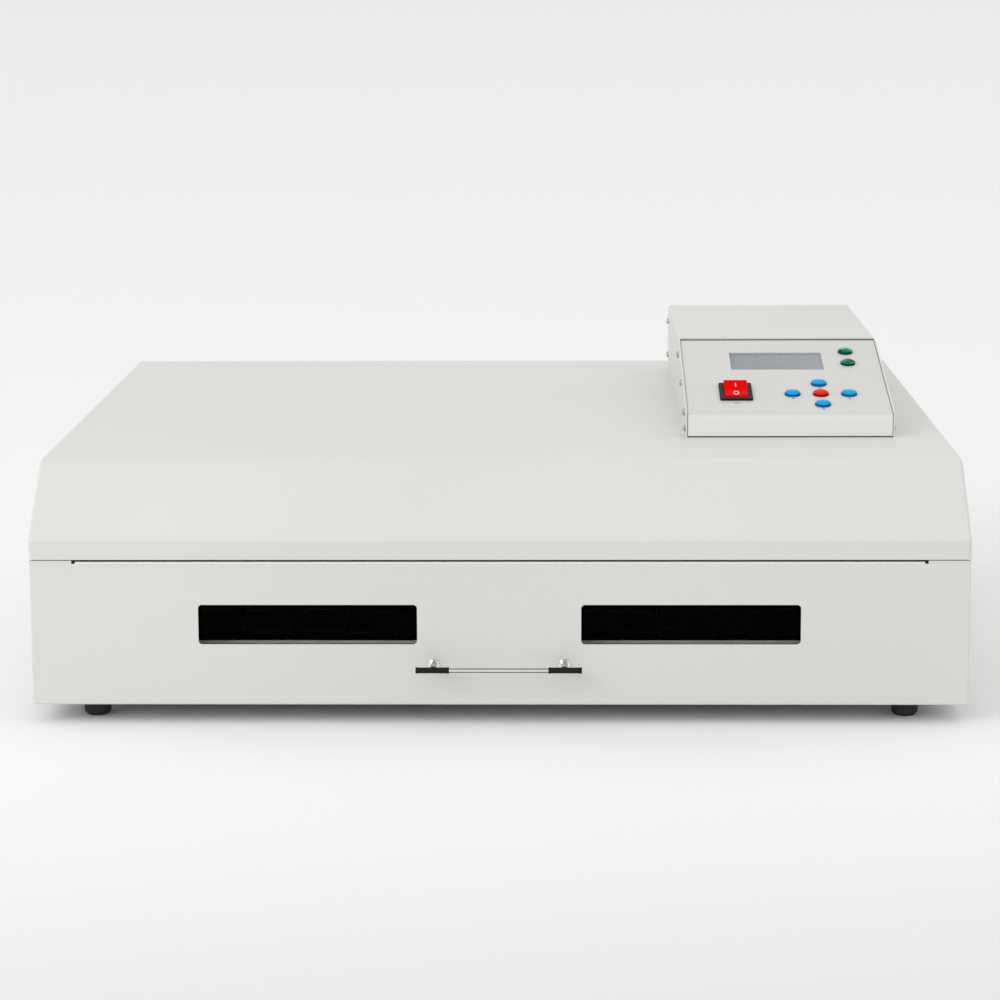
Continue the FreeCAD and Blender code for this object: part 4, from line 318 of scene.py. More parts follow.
# %% [markdown]
# ## Rubber and moulded plastics
# Moulded parts take the texture of their mould: a fine spark-eroded grain on dark housings, almost none on
# the smooth keys. Rubber is duller and dustier. All of them get a small colour drift so that a black part
# still shows its form. The keys carry painted shade and a painted highlight that follow how far the
# surface looks up: a deeper colour is painted on their upright rims, and a paler blue on the blue crowns.

# %% Plastics and rubber
def moulded(name, dark, light, smooth, rough, size, depth, **values):
    plastic = finish(name, **values)
    texture = grain(plastic, size)
    colour_by(plastic, texture, dark, light)
    roughen(plastic, texture, smooth, rough)
    relief(plastic, texture, depth, 0.6)
    return plastic


rubber = moulded("black_foot_rubber", (0.010, 0.010, 0.010), (0.028, 0.027, 0.026), 0.62, 0.85,
                 0.0016, 0.00006)
dark_plastic = moulded("dark_grained_plastic", (0.006, 0.006, 0.005), (0.016, 0.015, 0.014), 0.4, 0.6,
                       0.0008, 0.00004, Specular_IOR_Level=0.14)
black_plastic = moulded("black_housing_plastic", (0.008, 0.008, 0.008), (0.020, 0.019, 0.018), 0.35, 0.55,
                        0.0007, 0.00002, Specular_IOR_Level=0.1)
rocker_red = moulded("rocker_red", (0.68, 0.001, 0.002), (0.74, 0.002, 0.003), 0.3, 0.4,
                     0.004, 0.00001, Specular_IOR_Level=0.015)
key_blue = moulded("key_blue", (0.003, 0.31, 0.65), (0.006, 0.35, 0.71), 0.3, 0.42,
                   0.003, 0.00001, Specular_IOR_Level=0.07)
key_red = moulded("key_red", (0.76, 0.014, 0.003), (0.84, 0.020, 0.005), 0.3, 0.42,
                  0.003, 0.00001, Specular_IOR_Level=0.06)
# Painted shade on the keys' upright rims, and a painted highlight on the blue keys' crowns.
tint_by(key_blue, lean_of(key_blue), (0.001, 0.10, 0.34), (0.35, 1), (0.78, 0))
tint_by(key_blue, lean_of(key_blue), (0.030, 0.42, 0.82), (0.93, 0), (1.0, 1))
tint_by(key_red, lean_of(key_red), (0.30, 0.003, 0.001), (0.35, 1), (0.78, 0))
dark_ink = moulded("dark_ink", (0.020, 0.020, 0.020), (0.045, 0.045, 0.045), 0.5, 0.65, 0.0006, 0.00001)
print("seven plastics and inks")

# %% [markdown]
# ## Green indicator lenses
# The two lamps have a moulded lens whose inside is cut into little facets, so it shows bright and dark
# greens side by side where the facets catch the light or miss it. Modelling the facets inside a clear lens
# would need slow refraction; a cell pattern paints each facet its own green instead, painted glints and
# painted shade that cost nothing. The rim is painted darker, a painted shade as on the keys' rims.

# %% Indicator green
FACET = 0.0042
lens_green = finish("indicator_green", Roughness=0.14, Specular_IOR_Level=0.12)
facet_glints = add(lens_green, "TexVoronoi", Scale=1 / FACET)
lead(lens_green, placed(lens_green), facet_glints.inputs["Vector"])
split = add(lens_green, "SeparateColor")
lead(lens_green, facet_glints.outputs["Color"], split.inputs["Color"])
# Painted glints and shade: each facet's cell gets a dark, middle or bright green.
colour_by(lens_green, split.outputs["Red"], (0.001, 0.05, 0.03), (0.003, 0.19, 0.12), (0.020, 0.62, 0.44),
          low=0.05, high=0.60)
# Painted shade on the lens rim.
tint_by(lens_green, lean_of(lens_green), (0.001, 0.045, 0.028), (0.45, 1), (0.85, 0))
print("made", lens_green.name)

# %% [markdown]
# ## Glass
# Three glasses: heat-resisting panes in the drawer, clear quartz lamp tubes, and the display. The panes
# are only faintly tinted; they look black because the chamber behind them is painted near black, a painted
# shade for the dark inside, and the bright lip of the tray shows through. They are bloomed, which stops
# reflections, so their index is set close to that of air. A slow noise keeps the faint unevenness of
# rolled glass. The display is switched off, so it is a bluish grey sheet that drifts a little in shade.

# %% Panes, quartz and display
pane_glass = finish("dark_oven_glass", Transmission_Weight=1.0, Specular_IOR_Level=0.02, IOR=1.04,
                    Roughness=0.02)
colour_by(pane_glass, grain(pane_glass, 0.06, detail=1), (0.76, 0.78, 0.77), (0.82, 0.84, 0.83))
quartz = finish("lamp_quartz", Transmission_Weight=0.85, IOR=1.45)
bloom = grain(quartz, 0.02, (0.2, 1, 1))
colour_by(quartz, bloom, (0.80, 0.80, 0.78), (0.93, 0.93, 0.92))
roughen(quartz, bloom, 0.05, 0.22)
display_grey = finish("display_grey", Coat_Weight=0.1, Coat_Roughness=0.1, Specular_IOR_Level=0.25)
colour_by(display_grey, grain(display_grey, 0.05, detail=1), (0.222, 0.248, 0.280), (0.262, 0.288, 0.322))
roughen(display_grey, grain(display_grey, 0.01), 0.22, 0.32)
print("made", pane_glass.name, quartz.name, display_grey.name)

# %% [markdown]
# ## Boards, ceramic, wool and print
# What is left is mostly inside: green circuit laminate with its woven glass showing through, white ceramic
# lamp ends with a warm mottle, yellowish mineral wool, the drawer's wool behind the windows painted near
# black as a painted shade for the dark inside, and the white print on the rocker.

# %% Laminate, ceramic, wool and print
THREAD = 0.0012
laminate = finish("circuit_laminate", Coat_Weight=0.3, Coat_Roughness=0.25)
weave = add(laminate, "TexChecker", Scale=1 / THREAD)
lead(laminate, placed(laminate), weave.inputs["Vector"])
colour_by(laminate, weave.outputs["Fac"], (0.010, 0.085, 0.035), (0.014, 0.11, 0.045), low=0, high=1)
roughen(laminate, weave.outputs["Fac"], 0.34, 0.42)

ceramic = moulded("white_ceramic", (0.62, 0.60, 0.55), (0.80, 0.79, 0.76), 0.5, 0.7, 0.0012, 0.00005)
wool = moulded("mineral_wool", (0.42, 0.36, 0.22), (0.72, 0.66, 0.50), 0.85, 1.0, 0.0022, 0.0012)
# Painted shade: the drawer's wool is near black so the inside looks dark through the windows.
dark_wool = moulded("painted_shade_wool", (0.014, 0.012, 0.010), (0.040, 0.034, 0.028), 0.85, 1.0,
                    0.0022, 0.0012, Specular_IOR_Level=0.05)
print_white = moulded("white_print", (0.66, 0.64, 0.63), (0.76, 0.74, 0.73), 0.4, 0.55, 0.0006, 0.00001)
print("made", laminate.name, ceramic.name, wool.name, dark_wool.name, print_white.name)

# %% [markdown]
# ## Put the finishes on the model
# The model's record says which finish slot each piece takes, so most pieces can be painted from a short
# table. A few pieces share a slot but look different up close, such as rails that are drawn along their
# length; they are listed by name and win over the table.

# %% Paint every piece
SLOT_FINISH = {
    "cream_paint": cream, "grey_paint": grey_iron, "bright_steel": steel, "zinc_steel": zinc,
    "mirror_aluminium": mirror, "dull_aluminium": dull_aluminium, "chrome_plate": chrome,
    "black_rubber": rubber, "dark_plastic": dark_plastic, "black_plastic": black_plastic,
    "red_rocker_plastic": rocker_red, "blue_key_plastic": key_blue, "red_key_plastic": key_red,
    "green_lens": lens_green, "board_laminate": laminate, "mineral_wool": wool,
    "white_ceramic": ceramic, "quartz": quartz, "clear_glass": pane_glass, "display_pane": display_grey,
}
NODE_FINISH = {
    "slide_outer_rails": rail_zinc, "slide_middle_rails": rail_zinc, "slide_inner_rails": rail_zinc,
    "chamber_liner": painted_shade_steel, "drawer_liner": painted_shade_steel, "tray_wires": painted_shade_steel,
    "tray_rim": satin_sheet, "console_panel": panel_coat, "drawer_front": drawer_coat,
}

subparts = frame["record"]["subparts"]
for part in subparts:
    paint = nodes[part["node"]].data.materials
    paint.clear()
    paint.append(NODE_FINISH.get(part["node"], SLOT_FINISH[part["material_slot"]]))
print("painted", len(subparts), "pieces")

# %% [markdown]
# ## Mineral wool
# The model's insulation is plain blocks, which is fine for weight and fit but wrong for wool. Cloth
# simulation would be too much for a stiff batt. Here the block is remeshed into an even grid and smoothed,
# which rounds its corners. Each point is then pulled inwards by two sizes of noise, so the faces become
# lumpy while nothing grows out of its space.

# %% Soften the insulation
LUMP = 0.0012
BATTS = (("chamber_wool", "insulation_slabs", "chassis", 0.008, wool),
         ("drawer_wool", "drawer_insulation", "drawer", 0.0045, dark_wool))


def woolly(name, node, body, cell, shade):
    """A lumpy batt inside the space of a plain block."""
    draft = bpy.data.objects.new(name, nodes[node].data.copy())
    scene.collection.objects.link(draft)
    even = draft.modifiers.new("even_grid", "REMESH")
    even.mode = "VOXEL"
    even.voxel_size = cell
    draft.modifiers.new("rounding", "SMOOTH").iterations = 2
    solved = draft.evaluated_get(bpy.context.evaluated_depsgraph_get())
    mesh = bpy.data.meshes.new_from_object(solved)
    draft.modifiers.clear()
    draft.data = mesh
    normals = [vertex.normal.copy() for vertex in mesh.vertices]
    for vertex, normal in zip(mesh.vertices, normals):
        broad = noise.noise(vertex.co / (6 * cell))
        fine = noise.noise(vertex.co / (1.7 * cell))
        vertex.co -= normal * LUMP * (0.5 + 0.3 * broad + 0.2 * fine)
    mesh.shade_smooth()
    mesh.materials.clear()
    mesh.materials.append(shade)
    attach(draft, body)
    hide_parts(node)
    print(name, len(mesh.polygons), "faces")


for batt_values in BATTS:
    woolly(*batt_values)

# %% [markdown]
# ## The panel's directions
# The keys, lamps and switch stand square on a sloping panel, so it helps to measure along the panel
# instead of along the room: across it, up its slope and out of it. The slope need not be typed in. A key
# moves straight into the panel, so the direction of its joint already says how far the panel leans. Some
# nodes hold several separate solids, and following their edges from point to point tells one solid from
# the next.

# %% Measure along the panel
def joint_named(name):
    return next(joint for joint in frame["joints"] if joint["name"] == name)


PANEL_SLOPE = math.asin(joint_named("select_press")["axis"][1])
ACROSS = Vector((1, 0, 0))
UP_PANEL = Vector((0, math.cos(PANEL_SLOPE), math.sin(PANEL_SLOPE)))
OUT_OF_PANEL = Vector((0, -math.sin(PANEL_SLOPE), math.cos(PANEL_SLOPE)))
panel_axes = Matrix((ACROSS, UP_PANEL, OUT_OF_PANEL)).transposed()


def corners_of(points):
    """Lowest and highest corner of some points."""
    columns = list(zip(*points))
    return Vector(map(min, columns)), Vector(map(max, columns))


def loose_solids(node):
    """The corner points of each separate solid of a node."""
    form = bmesh.new()
    form.from_mesh(nodes[node].data)
    bmesh.ops.remove_doubles(form, verts=form.verts, dist=1e-6)
    waiting = set(form.verts)
    solids = []
    while waiting:
        reached = [waiting.pop()]
        for point in reached:
            near = {edge.other_vert(point) for edge in point.link_edges} & waiting
            waiting -= near
            reached.extend(near)
        solids.append([point.co.copy() for point in reached])
    form.free()
    return solids


def panel_reach(points):
    """Lowest and highest corner of some points along the panel's own directions."""
    return corners_of([panel_axes.transposed() @ point for point in points])


def on_panel(points, height):
    """Place on the panel's slope in the middle of some points, that far below the highest of them."""
    low, high = panel_reach(points)
    middle = Vector(((low.x + high.x) / 2, (low.y + high.y) / 2, high.z - height))
    return Matrix.Translation(panel_axes @ middle) @ panel_axes.to_4x4()


print("panel slope", round(math.degrees(PANEL_SLOPE), 2), "degrees")

# %% [markdown]
# ## A lathe
# Keys, lenses and screw heads are all turned forms, a round rim under a shallow dome, and the model keeps
# them coarse. A subdivision modifier would round the rims along with the domes. A lathe gives both as they
# are: the outline is written as radius and height and carried round the axis in small steps.

# %% Lathe helpers
SHARP_EDGE = math.radians(35)


def full_turn(steps):
    """Angles of even steps round a circle."""
    return [2 * math.pi * step / steps for step in range(steps)]


def turned(form, profile, place, steps=40):
    """Turn an outline of radius and height round an axis."""
    rings = []
    for radius, height in profile:
        angles = full_turn(steps) if radius else [0]
        spots = [Vector((radius * math.cos(angle), radius * math.sin(angle), height)) for angle in angles]
        rings.append([form.verts.new(place @ spot) for spot in spots])
    for one, two in zip(rings, rings[1:]):
        for step in range(steps):
            ahead = step + 1
            loop = [one[step % len(one)], one[ahead % len(one)], two[ahead % len(two)], two[step % len(two)]]
            form.faces.new(dict.fromkeys(loop))


def dome(rim, low, top, steps=9):
    """Outline of a dome from its middle to its rim."""
    angles = [math.pi / 2 * step / steps for step in range(steps + 1)]
    return [(rim * math.sin(angle), low + (top - low) * math.cos(angle)) for angle in angles]


def object_from(name, form, *materials):
    """A linked object whose mesh is this form."""
    mesh = bpy.data.meshes.new(name)
    form.to_mesh(mesh)
    form.free()
    for material in materials:
        mesh.materials.append(material)
    made = bpy.data.objects.new(name, mesh)
    scene.collection.objects.link(made)
    return made


def smooth_piece(name, form, material, body, node):
    """Make a piece, smooth but for its sharp edges, that stands for one node of the model."""
    bmesh.ops.recalc_face_normals(form, faces=form.faces)
    piece = object_from(name, form, material)
    piece.data.shade_smooth()
    piece.data.set_sharp_from_angle(angle=SHARP_EDGE)
    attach(piece, body)
    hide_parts(node)


print("lathe ready")

# %% [markdown]
# ## Keys and lamp lenses
# Four blue direction keys stand round a red one, and two green lamps sit higher up the slope. Each key has
# a flange that keeps it behind the panel and a stem that reaches the switch under it. They could be placed
# by typed numbers, but then they would stay behind if the model changed, so each piece is built where the
# model's own solid sits, and a key's stem ends where its solid ends.

# %% Turn the keys and lenses
KEY_TOP = 0.0042
KEY_RADIUS, FLANGE_RADIUS, STEM_RADIUS = 0.0065, 0.0081, 0.0025
KEY_SHOULDER, KEY_CROWN, FLANGE_TOP, FLANGE_FOOT = 0.0014, 0.0034, -0.0013, -0.0025
KEY_CAP = dome(KEY_RADIUS, KEY_SHOULDER, KEY_CROWN) + [
    (KEY_RADIUS, FLANGE_TOP), (FLANGE_RADIUS, FLANGE_TOP), (FLANGE_RADIUS, FLANGE_FOOT),
    (STEM_RADIUS, FLANGE_FOOT)]
LENS_RADIUS, LENS_SHOULDER, LENS_CROWN = 0.0064, 0.0014, 0.0036
LAMP_RADIUS, LAMP_DEPTH = 0.0047, 0.0110
LENS = dome(LENS_RADIUS, LENS_SHOULDER, LENS_CROWN) + [
    (LENS_RADIUS, 0), (LAMP_RADIUS, 0), (LAMP_RADIUS, -LAMP_DEPTH), (0, -LAMP_DEPTH)]

key_places = {}
for way in ("up", "down", "left", "right", "select"):
    solid = [vertex.co for vertex in nodes[way + "_button"].data.vertices]
    key_places[way] = on_panel(solid, KEY_TOP)
    lowest, highest = panel_reach(solid)
    stem_end = KEY_TOP - (highest.z - lowest.z)
    cap = bmesh.new()
    turned(cap, KEY_CAP + [(STEM_RADIUS, stem_end), (0, stem_end)], key_places[way])
    plastic, slot = (key_red, "red_key_plastic") if way == "select" else (key_blue, "blue_key_plastic")
    smooth_piece(way + "_key_cap", cap, plastic, way + "_key", way + "_button")

lenses = bmesh.new()
for solid in loose_solids("indicator_lamps"):
    turned(lenses, LENS, on_panel(solid, LENS_CROWN))
smooth_piece("indicator_lenses", lenses, lens_green, "chassis", "indicator_lamps")
print("turned", len(key_places), "keys and two lenses")

# %% [markdown]
# ## One screw head
# The screws have domed heads with cross recesses. The head is turned on the same lathe. Its recess is cut
# with a boolean modifier, because a cross is awkward to weave into a round grid: two crossed bars are the
# driver's tip, and what they leave is the finished head.

# %% Cut a cross-recessed head
HEAD_RADIUS, HEAD_EDGE, HEAD_CROWN = 0.0029, 0.0006, 0.0020
HEAD = dome(HEAD_RADIUS, HEAD_EDGE, HEAD_CROWN) + [(HEAD_RADIUS, 0), (0, 0)]
RECESS_LENGTH, RECESS_WIDTH, RECESS_FLOOR = 0.0032, 0.0008, 0.0009
TIP_LENGTH = 0.004


def screw_head():
    """Mesh of one head, standing on the origin along Z."""
    blank_form = bmesh.new()
    turned(blank_form, HEAD, Matrix.Identity(4), steps=32)
    tip_form = bmesh.new()
    for size in ((RECESS_LENGTH, RECESS_WIDTH, TIP_LENGTH), (RECESS_WIDTH, RECESS_LENGTH, TIP_LENGTH)):
        bar = bmesh.ops.create_cube(tip_form, size=1)["verts"]
        bmesh.ops.scale(tip_form, vec=size, verts=bar)
        bmesh.ops.translate(tip_form, vec=(0, 0, RECESS_FLOOR + TIP_LENGTH / 2), verts=bar)
    for form in (blank_form, tip_form):
        bmesh.ops.recalc_face_normals(form, faces=form.faces)
    blank = object_from("head_blank", blank_form)
    driver_tip = object_from("driver_tip", tip_form)
    recess = blank.modifiers.new("recess", "BOOLEAN")
    recess.object = driver_tip
    recess.use_self = True
    cut = bpy.data.meshes.new_from_object(blank.evaluated_get(bpy.context.evaluated_depsgraph_get()))
    for scratch in (blank, driver_tip):
        bpy.data.objects.remove(scratch)
    return cut


head_mesh = screw_head()
print("one head has", len(head_mesh.polygons), "faces")

# %% [markdown]
# ## Console and inlet screws
# The console is held by twelve bright screws, six on each side, and the mains inlet by two more. The
# finished head is copied to the place of each plain head of the model, facing out of the sheet: away from
# the console's middle for the first group, towards the back for the second.

# %% Drive the screws
def dressed_screws(name, node, way_out):
    """A cross-recessed head in place of each plain one of a node."""
    form = bmesh.new()
    solids = loose_solids(node)
    for solid in solids:
        low, high = corners_of(solid)
        middle = (low + high) / 2
        out = way_out(middle)
        seat = middle - out * abs((high - low).dot(out)) / 2
        place = Matrix.Translation(seat) @ out.to_track_quat("Z", "Y").to_matrix().to_4x4()
        known = len(form.verts)
        form.from_mesh(head_mesh)
        form.verts.ensure_lookup_table()
        bmesh.ops.transform(form, matrix=place, verts=form.verts[known:])
    smooth_piece(name, form, bolt_zinc, "chassis", node)
    print(name, len(solids))


console_low, console_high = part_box("console_shell")
console_middle = (console_low.x + console_high.x) / 2


def out_of_console(spot):
    return Vector((math.copysign(1, spot.x - console_middle), 0, 0))


def out_of_back(spot):
    return Vector((0, 1, 0))


dressed_screws("console_screw_heads", "console_screws", out_of_console)
dressed_screws("inlet_screw_heads", "inlet_screws", out_of_back)

# %% [markdown]
# ## Fan guards
# Each exhaust fan behind the oven has a guard of chromed wire: five rings welded to four diagonal wires
# that end in eyes under the fan's screws. The model has flat bars there. A round wire is what a bevelled
# curve is for, so every ring, diagonal and eye is one spline of a single curve, and the bevel gives them
# all the same thickness. Caps close the ends of the diagonals.

# %% Bend the guard wires
WIRE = 0.0016
GUARD_RINGS = (0.0085, 0.0170, 0.0255, 0.0340, 0.0425)
EYE = 0.0031
LONGEST_ARM = 0.07
RING_STEPS, EYE_STEPS = 56, 16

guard_curve = bpy.data.curves.new("fan_wire_guards", "CURVE")
guard_curve.dimensions = "3D"
guard_curve.bevel_depth = WIRE / 2
guard_curve.bevel_resolution = 2
guard_curve.use_fill_caps = True


def wire(points, closed):
    run = guard_curve.splines.new("POLY")
    run.points.add(len(points) - 1)
    for point, spot in zip(run.points, points):
        point.co = (*spot, 1)
    run.use_cyclic_u = closed


def hoop(middle, radius, steps):
    turns = full_turn(steps)
    wire([middle + radius * Vector((math.cos(turn), 0, math.sin(turn))) for turn in turns], True)


guard_low, guard_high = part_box("fan_guards")
guard_level = (guard_low.y + guard_high.y) / 2
bolts = [sum(corners_of(solid), Vector()) / 2 for solid in loose_solids("fan_screws")]
fan_joints = [joint for joint in frame["joints"] if joint["name"].endswith("fan_spin")]
for joint in fan_joints:
    hub = Vector((joint["pos_m"][0], guard_level, joint["pos_m"][2]))
    for radius in GUARD_RINGS:
        hoop(hub, radius, RING_STEPS)
    for bolt in bolts:
        arm = Vector((bolt.x - hub.x, 0, bolt.z - hub.z))
        if arm.length < LONGEST_ARM:
            hoop(hub + arm, EYE, EYE_STEPS)
            wire([hub + arm.normalized() * GUARD_RINGS[0], hub + arm - arm.normalized() * EYE], False)
guards = bpy.data.objects.new("fan_wire_guards", guard_curve)
scene.collection.objects.link(guards)
guard_curve.materials.append(chrome)
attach(guards, "chassis")
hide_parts("fan_guards")
print(len(guard_curve.splines), "wires in two guards")

# %% [markdown]
# ## Inlet pins
# The mains inlet's three flat pins are plated metal in a black moulding, but the model has moulding and
# pins in one piece. A second material on chosen faces would mean changing the model's mesh, so each pin
# gets a thin plated sleeve instead, a bevelled bar that stands a tenth of a millimetre proud of the pin.

# %% Plate the pins
PIN_WIDTH, PIN_THICKNESS, PIN_LENGTH, PIN_BEVEL = 0.0082, 0.0022, 0.0170, 0.0005
PIN_SPOTS = ((-0.0065, -0.0040), (0.0065, -0.0040), (0, 0.0040))
FLANGE_TO_TIP = 0.0019

inlet_low, inlet_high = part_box("power_inlet")
inlet_across = (inlet_low.x + inlet_high.x) / 2
inlet_level = (inlet_low.z + inlet_high.z) / 2
pin_depth = inlet_high.y - FLANGE_TO_TIP - PIN_LENGTH / 2
pins = bmesh.new()
for across, rise in PIN_SPOTS:
    bar = bmesh.ops.create_cube(pins, size=1)["verts"]
    bmesh.ops.scale(pins, vec=(PIN_WIDTH, PIN_LENGTH, PIN_THICKNESS), verts=bar)
    spot = Vector((inlet_across + across, pin_depth, inlet_level + rise))
    bmesh.ops.translate(pins, vec=spot, verts=bar)
bmesh.ops.bevel(pins, geom=pins.edges[:], offset=PIN_BEVEL, segments=2, affect="EDGES")
sleeves = object_from("inlet_pin_sleeves", pins, nickel)
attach(sleeves, "chassis")
print("plated", len(PIN_SPOTS), "pins")

# %% [markdown]
# ## Thin tablets for print
# Print could be a texture, but a texture needs UVs on a model that has none. Each printed mark is a thin
# tablet instead: its outline is drawn flat, filled, and given a little thickness. A bar with round ends
# and an oval ring are the two outlines that are not a plain triangle.

# %% Tablet helpers
def stadium(half_width, half_height, steps=10):
    """Outline of an upright bar with round ends."""
    points = []
    for centre, start in ((half_height - half_width, 0), (half_width - half_height, math.pi)):
        for step in range(steps + 1):
            angle = start + math.pi * step / steps
            points.append((half_width * math.cos(angle), centre + half_width * math.sin(angle)))
    return points


def oval(half_width, half_height, steps=28):
    return [(half_width * math.cos(angle), half_height * math.sin(angle)) for angle in full_turn(steps)]


def tablet(name, outline, hole, thick, print_finish):
    """Thin tablet between an outline and a hole, or a full one."""
    form = bmesh.new()
    outer = [form.verts.new((x, y, 0)) for x, y in outline]
    if hole:
        inner = [form.verts.new((x, y, 0)) for x, y in hole]
        count = len(outer)
        faces = [form.faces.new((outer[i], outer[(i + 1) % count], inner[(i + 1) % count], inner[i]))
                 for i in range(count)]
    else:
        faces = [form.faces.new(outer)]
    grown = bmesh.ops.extrude_face_region(form, geom=faces)["geom"]
    lifted = [element for element in grown if isinstance(element, bmesh.types.BMVert)]
    bmesh.ops.translate(form, vec=(0, 0, thick), verts=lifted)
    bmesh.ops.recalc_face_normals(form, faces=form.faces)
    return object_from(name, form, print_finish)


print("tablet helpers ready")

# %% [markdown]
# ## Marks on the rocker
# The power switch carries the two usual marks, a bar and a ring. The rocker's top is bent in the middle,
# so each half leans its own way, and typed angles would be easy to get wrong. Each mark is laid where a
# ray from outside the panel meets the rocker, square to the face it hits and sunk a little into it.

# %% Rocker marks
MARK_THICKNESS, MARK_SINK = 0.0002, 0.00005
RAY_START = 0.05
BAR = stadium(0.0004, 0.0023)
RING, RING_HOLE = oval(0.0024, 0.0035), oval(0.00165, 0.00265)
MARKS = (("rocker_on_mark", BAR, None, 0.0040), ("rocker_off_mark", RING, RING_HOLE, -0.0084))


def lay_on(piece, node, start):
    """Lay a flat piece on a node, under a point outside the panel."""
    hit, spot, normal, _ = nodes[node].ray_cast(start, -OUT_OF_PANEL)
    along = normal.cross(ACROSS).normalized()
    piece.matrix_world = Matrix((ACROSS, along, normal)).transposed().to_4x4()
    piece.location = spot - normal * MARK_SINK
    return hit


pivot = Vector(joint_named("rocker_pivot")["pos_m"])
for name, outline, hole, rise in MARKS:
    mark = tablet(name, outline, hole, MARK_THICKNESS, print_white)
    found = lay_on(mark, "power_rocker", pivot + UP_PANEL * rise + OUT_OF_PANEL * RAY_START)
    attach(mark, "rocker")
    print(name, "laid" if found else "missed", [round(value, 4) for value in mark.location])

# %% [markdown]
# ## Arrows on the panel
# A small dark arrow is screen-printed under each direction key. An ink film is too thin to model true to
# size, so the arrows are tablets a twentieth of a millimetre thick. One triangle serves all four: it is
# turned by a quarter from key to key and set a fixed way down the slope from the key's middle.

# %% Print the arrows
INK = 0.00005
MARK_DROP = 0.0096
ARROW = [(-0.0013, -0.0008), (0.0013, -0.0008), (0, 0.0012)]
ARROW_TURNS = {"up": 0, "left": 90, "down": 180, "right": 270}

for way, degrees in ARROW_TURNS.items():
    arrow = tablet(way + "_arrow", ARROW, None, INK, dark_ink)
    turn = Matrix.Rotation(math.radians(degrees), 4, "Z")
    arrow.matrix_world = key_places[way] @ Matrix.Translation((0, -MARK_DROP, 0)) @ turn
    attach(arrow, "chassis")
print("printed", len(ARROW_TURNS), "arrows")

# %% [markdown]
# ## A word on the panel
# A plain word stands under the power switch. Letters are hard to draw by hand, but Blender has a text
# object whose letters are filled curves. It is given the ink's thickness, turned into a mesh so that it
# exports like any other piece, and laid on the panel's face below the switch's housing.

# %% Print the word
WORD_SIZE, WORD_DROP = 0.0036, 0.0034

word_curve = bpy.data.curves.new("off_word", "FONT")
word_curve.body = "OFF"
word_curve.size = WORD_SIZE
word_curve.align_x = "CENTER"
word_curve.align_y = "TOP"
word_curve.extrude = INK / 2
word_draft = bpy.data.objects.new("off_draft", word_curve)
scene.collection.objects.link(word_draft)
solved_word = word_draft.evaluated_get(bpy.context.evaluated_depsgraph_get())
word_mesh = bpy.data.meshes.new_from_object(solved_word)
bpy.data.objects.remove(word_draft)
word_mesh.materials.append(dark_ink)
word = bpy.data.objects.new("off_word", word_mesh)
scene.collection.objects.link(word)
housing_low, housing_high = panel_reach([vertex.co for vertex in nodes["switch_body"].data.vertices])
face_level = (panel_axes.transposed() @ key_places["select"].translation).z
word_spot = Vector(((housing_low.x + housing_high.x) / 2, housing_low.y - WORD_DROP, face_level + INK / 2))
word.matrix_world = Matrix.Translation(panel_axes @ word_spot) @ panel_axes.to_4x4()
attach(word, "chassis")
print("printed a word at", [round(value, 4) for value in word.matrix_world.translation])

# %% [markdown]
# ## The floor
# A studio floor is one wide pale sheet without an edge in sight. A small plane would show its border from
# above, so this one is a disc six hundred metres across, which reaches the horizon. A colour ramp along
# the floor's depth paints it lightest under and behind the oven and greyer a metre before it: painted
# light and shade for how the studio light falls across the floor.

# %% Pale floor
FLOOR_RADIUS, FLOOR_DROP = 300, 0.0002
# Painted light and shade: depths in metres and the floor's grey there.
FLOOR_SHADES = ((-12.0, 0.85), (-3.0, 0.80), (-1.1, 0.72), (-0.45, 0.885), (4.0, 0.90), (45.0, 0.85))
FLOOR_FRONT, FLOOR_BACK = FLOOR_SHADES[0][0], FLOOR_SHADES[-1][0]

pale = finish("pale_floor", Roughness=0.9, Specular_IOR_Level=0.1)
floor_metres = add(pale, "TexCoord")
depth = add(pale, "SeparateXYZ")
share_of_depth = add(pale, "MapRange", From_Min=FLOOR_FRONT, From_Max=FLOOR_BACK)
lead(pale, floor_metres.outputs["Object"], depth.inputs["Vector"])
lead(pale, depth.outputs["Y"], share_of_depth.inputs["Value"])
floor_stops = [((place - FLOOR_FRONT) / (FLOOR_BACK - FLOOR_FRONT), (grey,) * 3)
               for place, grey in FLOOR_SHADES]
floor_shade = shade_ramp(pale, share_of_depth.outputs["Result"], floor_stops)
lead(pale, floor_shade, shader_of(pale).inputs["Base Color"])

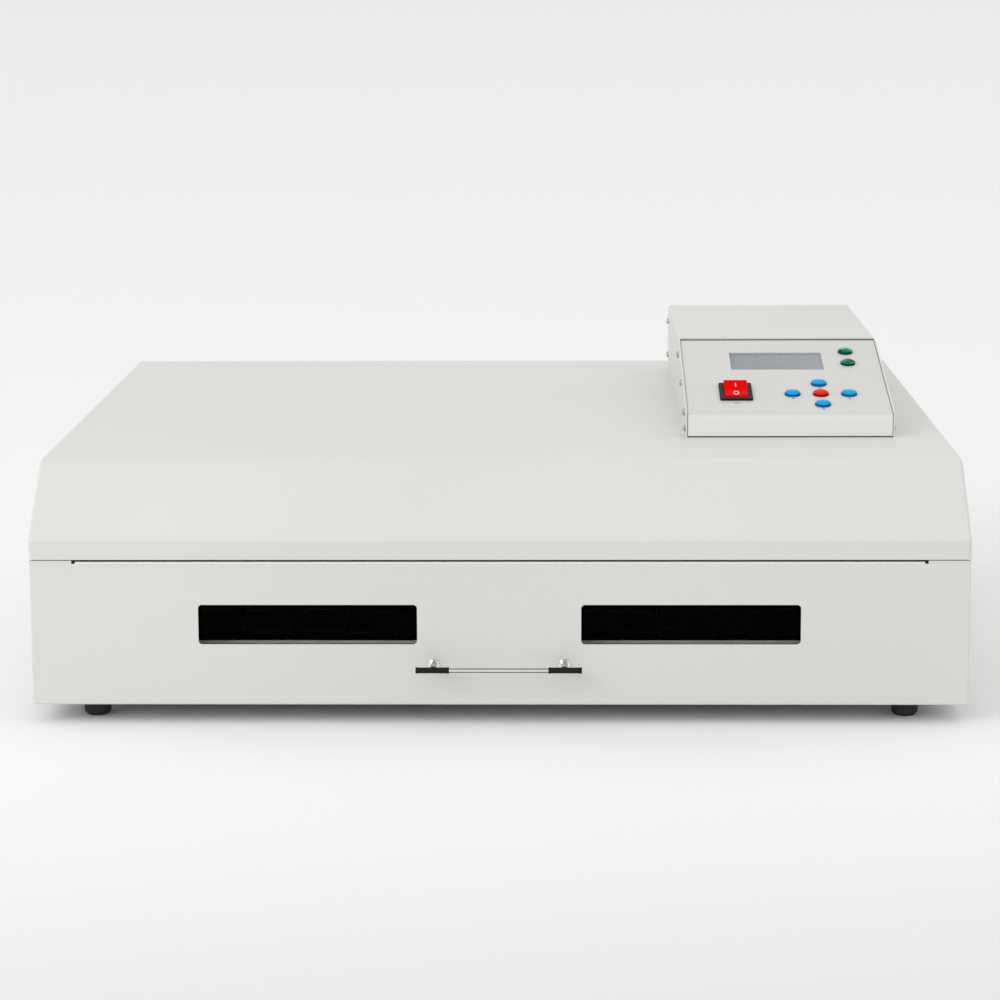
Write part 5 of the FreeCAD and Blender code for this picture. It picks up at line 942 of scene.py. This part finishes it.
disc = bmesh.new()
bmesh.ops.create_circle(disc, cap_ends=True, segments=96, radius=FLOOR_RADIUS)
floor = object_from("studio_floor", disc, pale)
floor.location.z = -FLOOR_DROP
print("floor laid,", 2 * FLOOR_RADIUS, "m across")

# %% [markdown]
# ## A softbox
# One large soft source stands at the left front and gives that side of the oven its slightly brighter
# tone. A point light would give hard edges that the picture does not have, so the source is an area light
# about two metres wide, aimed at the oven.

# %% Left softbox
SOFTBOX_PLACE, SOFTBOX_AIM = Vector((-2.4, -2.6, 1.9)), Vector((-0.1, 0, 0.1))
SOFTBOX_WIDTH, SOFTBOX_HEIGHT, SOFTBOX_WATTS = 2.2, 1.8, 39

softbox = bpy.data.lights.new("left_softbox", "AREA")
softbox.shape = "RECTANGLE"
softbox.size = SOFTBOX_WIDTH
softbox.size_y = SOFTBOX_HEIGHT
softbox.energy = SOFTBOX_WATTS
holder = bpy.data.objects.new("left_softbox", softbox)
scene.collection.objects.link(holder)
holder.location = SOFTBOX_PLACE
holder.rotation_euler = (SOFTBOX_AIM - SOFTBOX_PLACE).to_track_quat("-Z", "Y").to_euler()
print("softbox of", SOFTBOX_WATTS, "W")

# %% [markdown]
# ## The room
# Most of the light comes from the bright white room. It could be built from walls, but a world that
# surrounds the scene is the same light for less: brighter above, greyer towards the horizon, which also
# gives the chrome a little to reflect.

# %% Bright room
ROOM_LOW, ROOM_HIGH, ROOM_STRENGTH = 0.62, 0.80, 1.29

room = bpy.data.worlds.new("studio_room")
room.use_nodes = True
scene.world = room
direction = add(room, "TexCoord")
room_height = add(room, "SeparateXYZ")
lead(room, direction.outputs["Generated"], room_height.inputs["Vector"])
room_shade = shade_ramp(room, room_height.outputs["Z"], ((0, (ROOM_LOW,) * 3), (1, (ROOM_HIGH,) * 3)))
background = room.node_tree.nodes["Background"]
lead(room, room_shade, background.inputs["Color"])
background.inputs["Strength"].default_value = ROOM_STRENGTH
scene.view_settings.view_transform = "Standard"
print("room from", ROOM_LOW, "to", ROOM_HIGH)
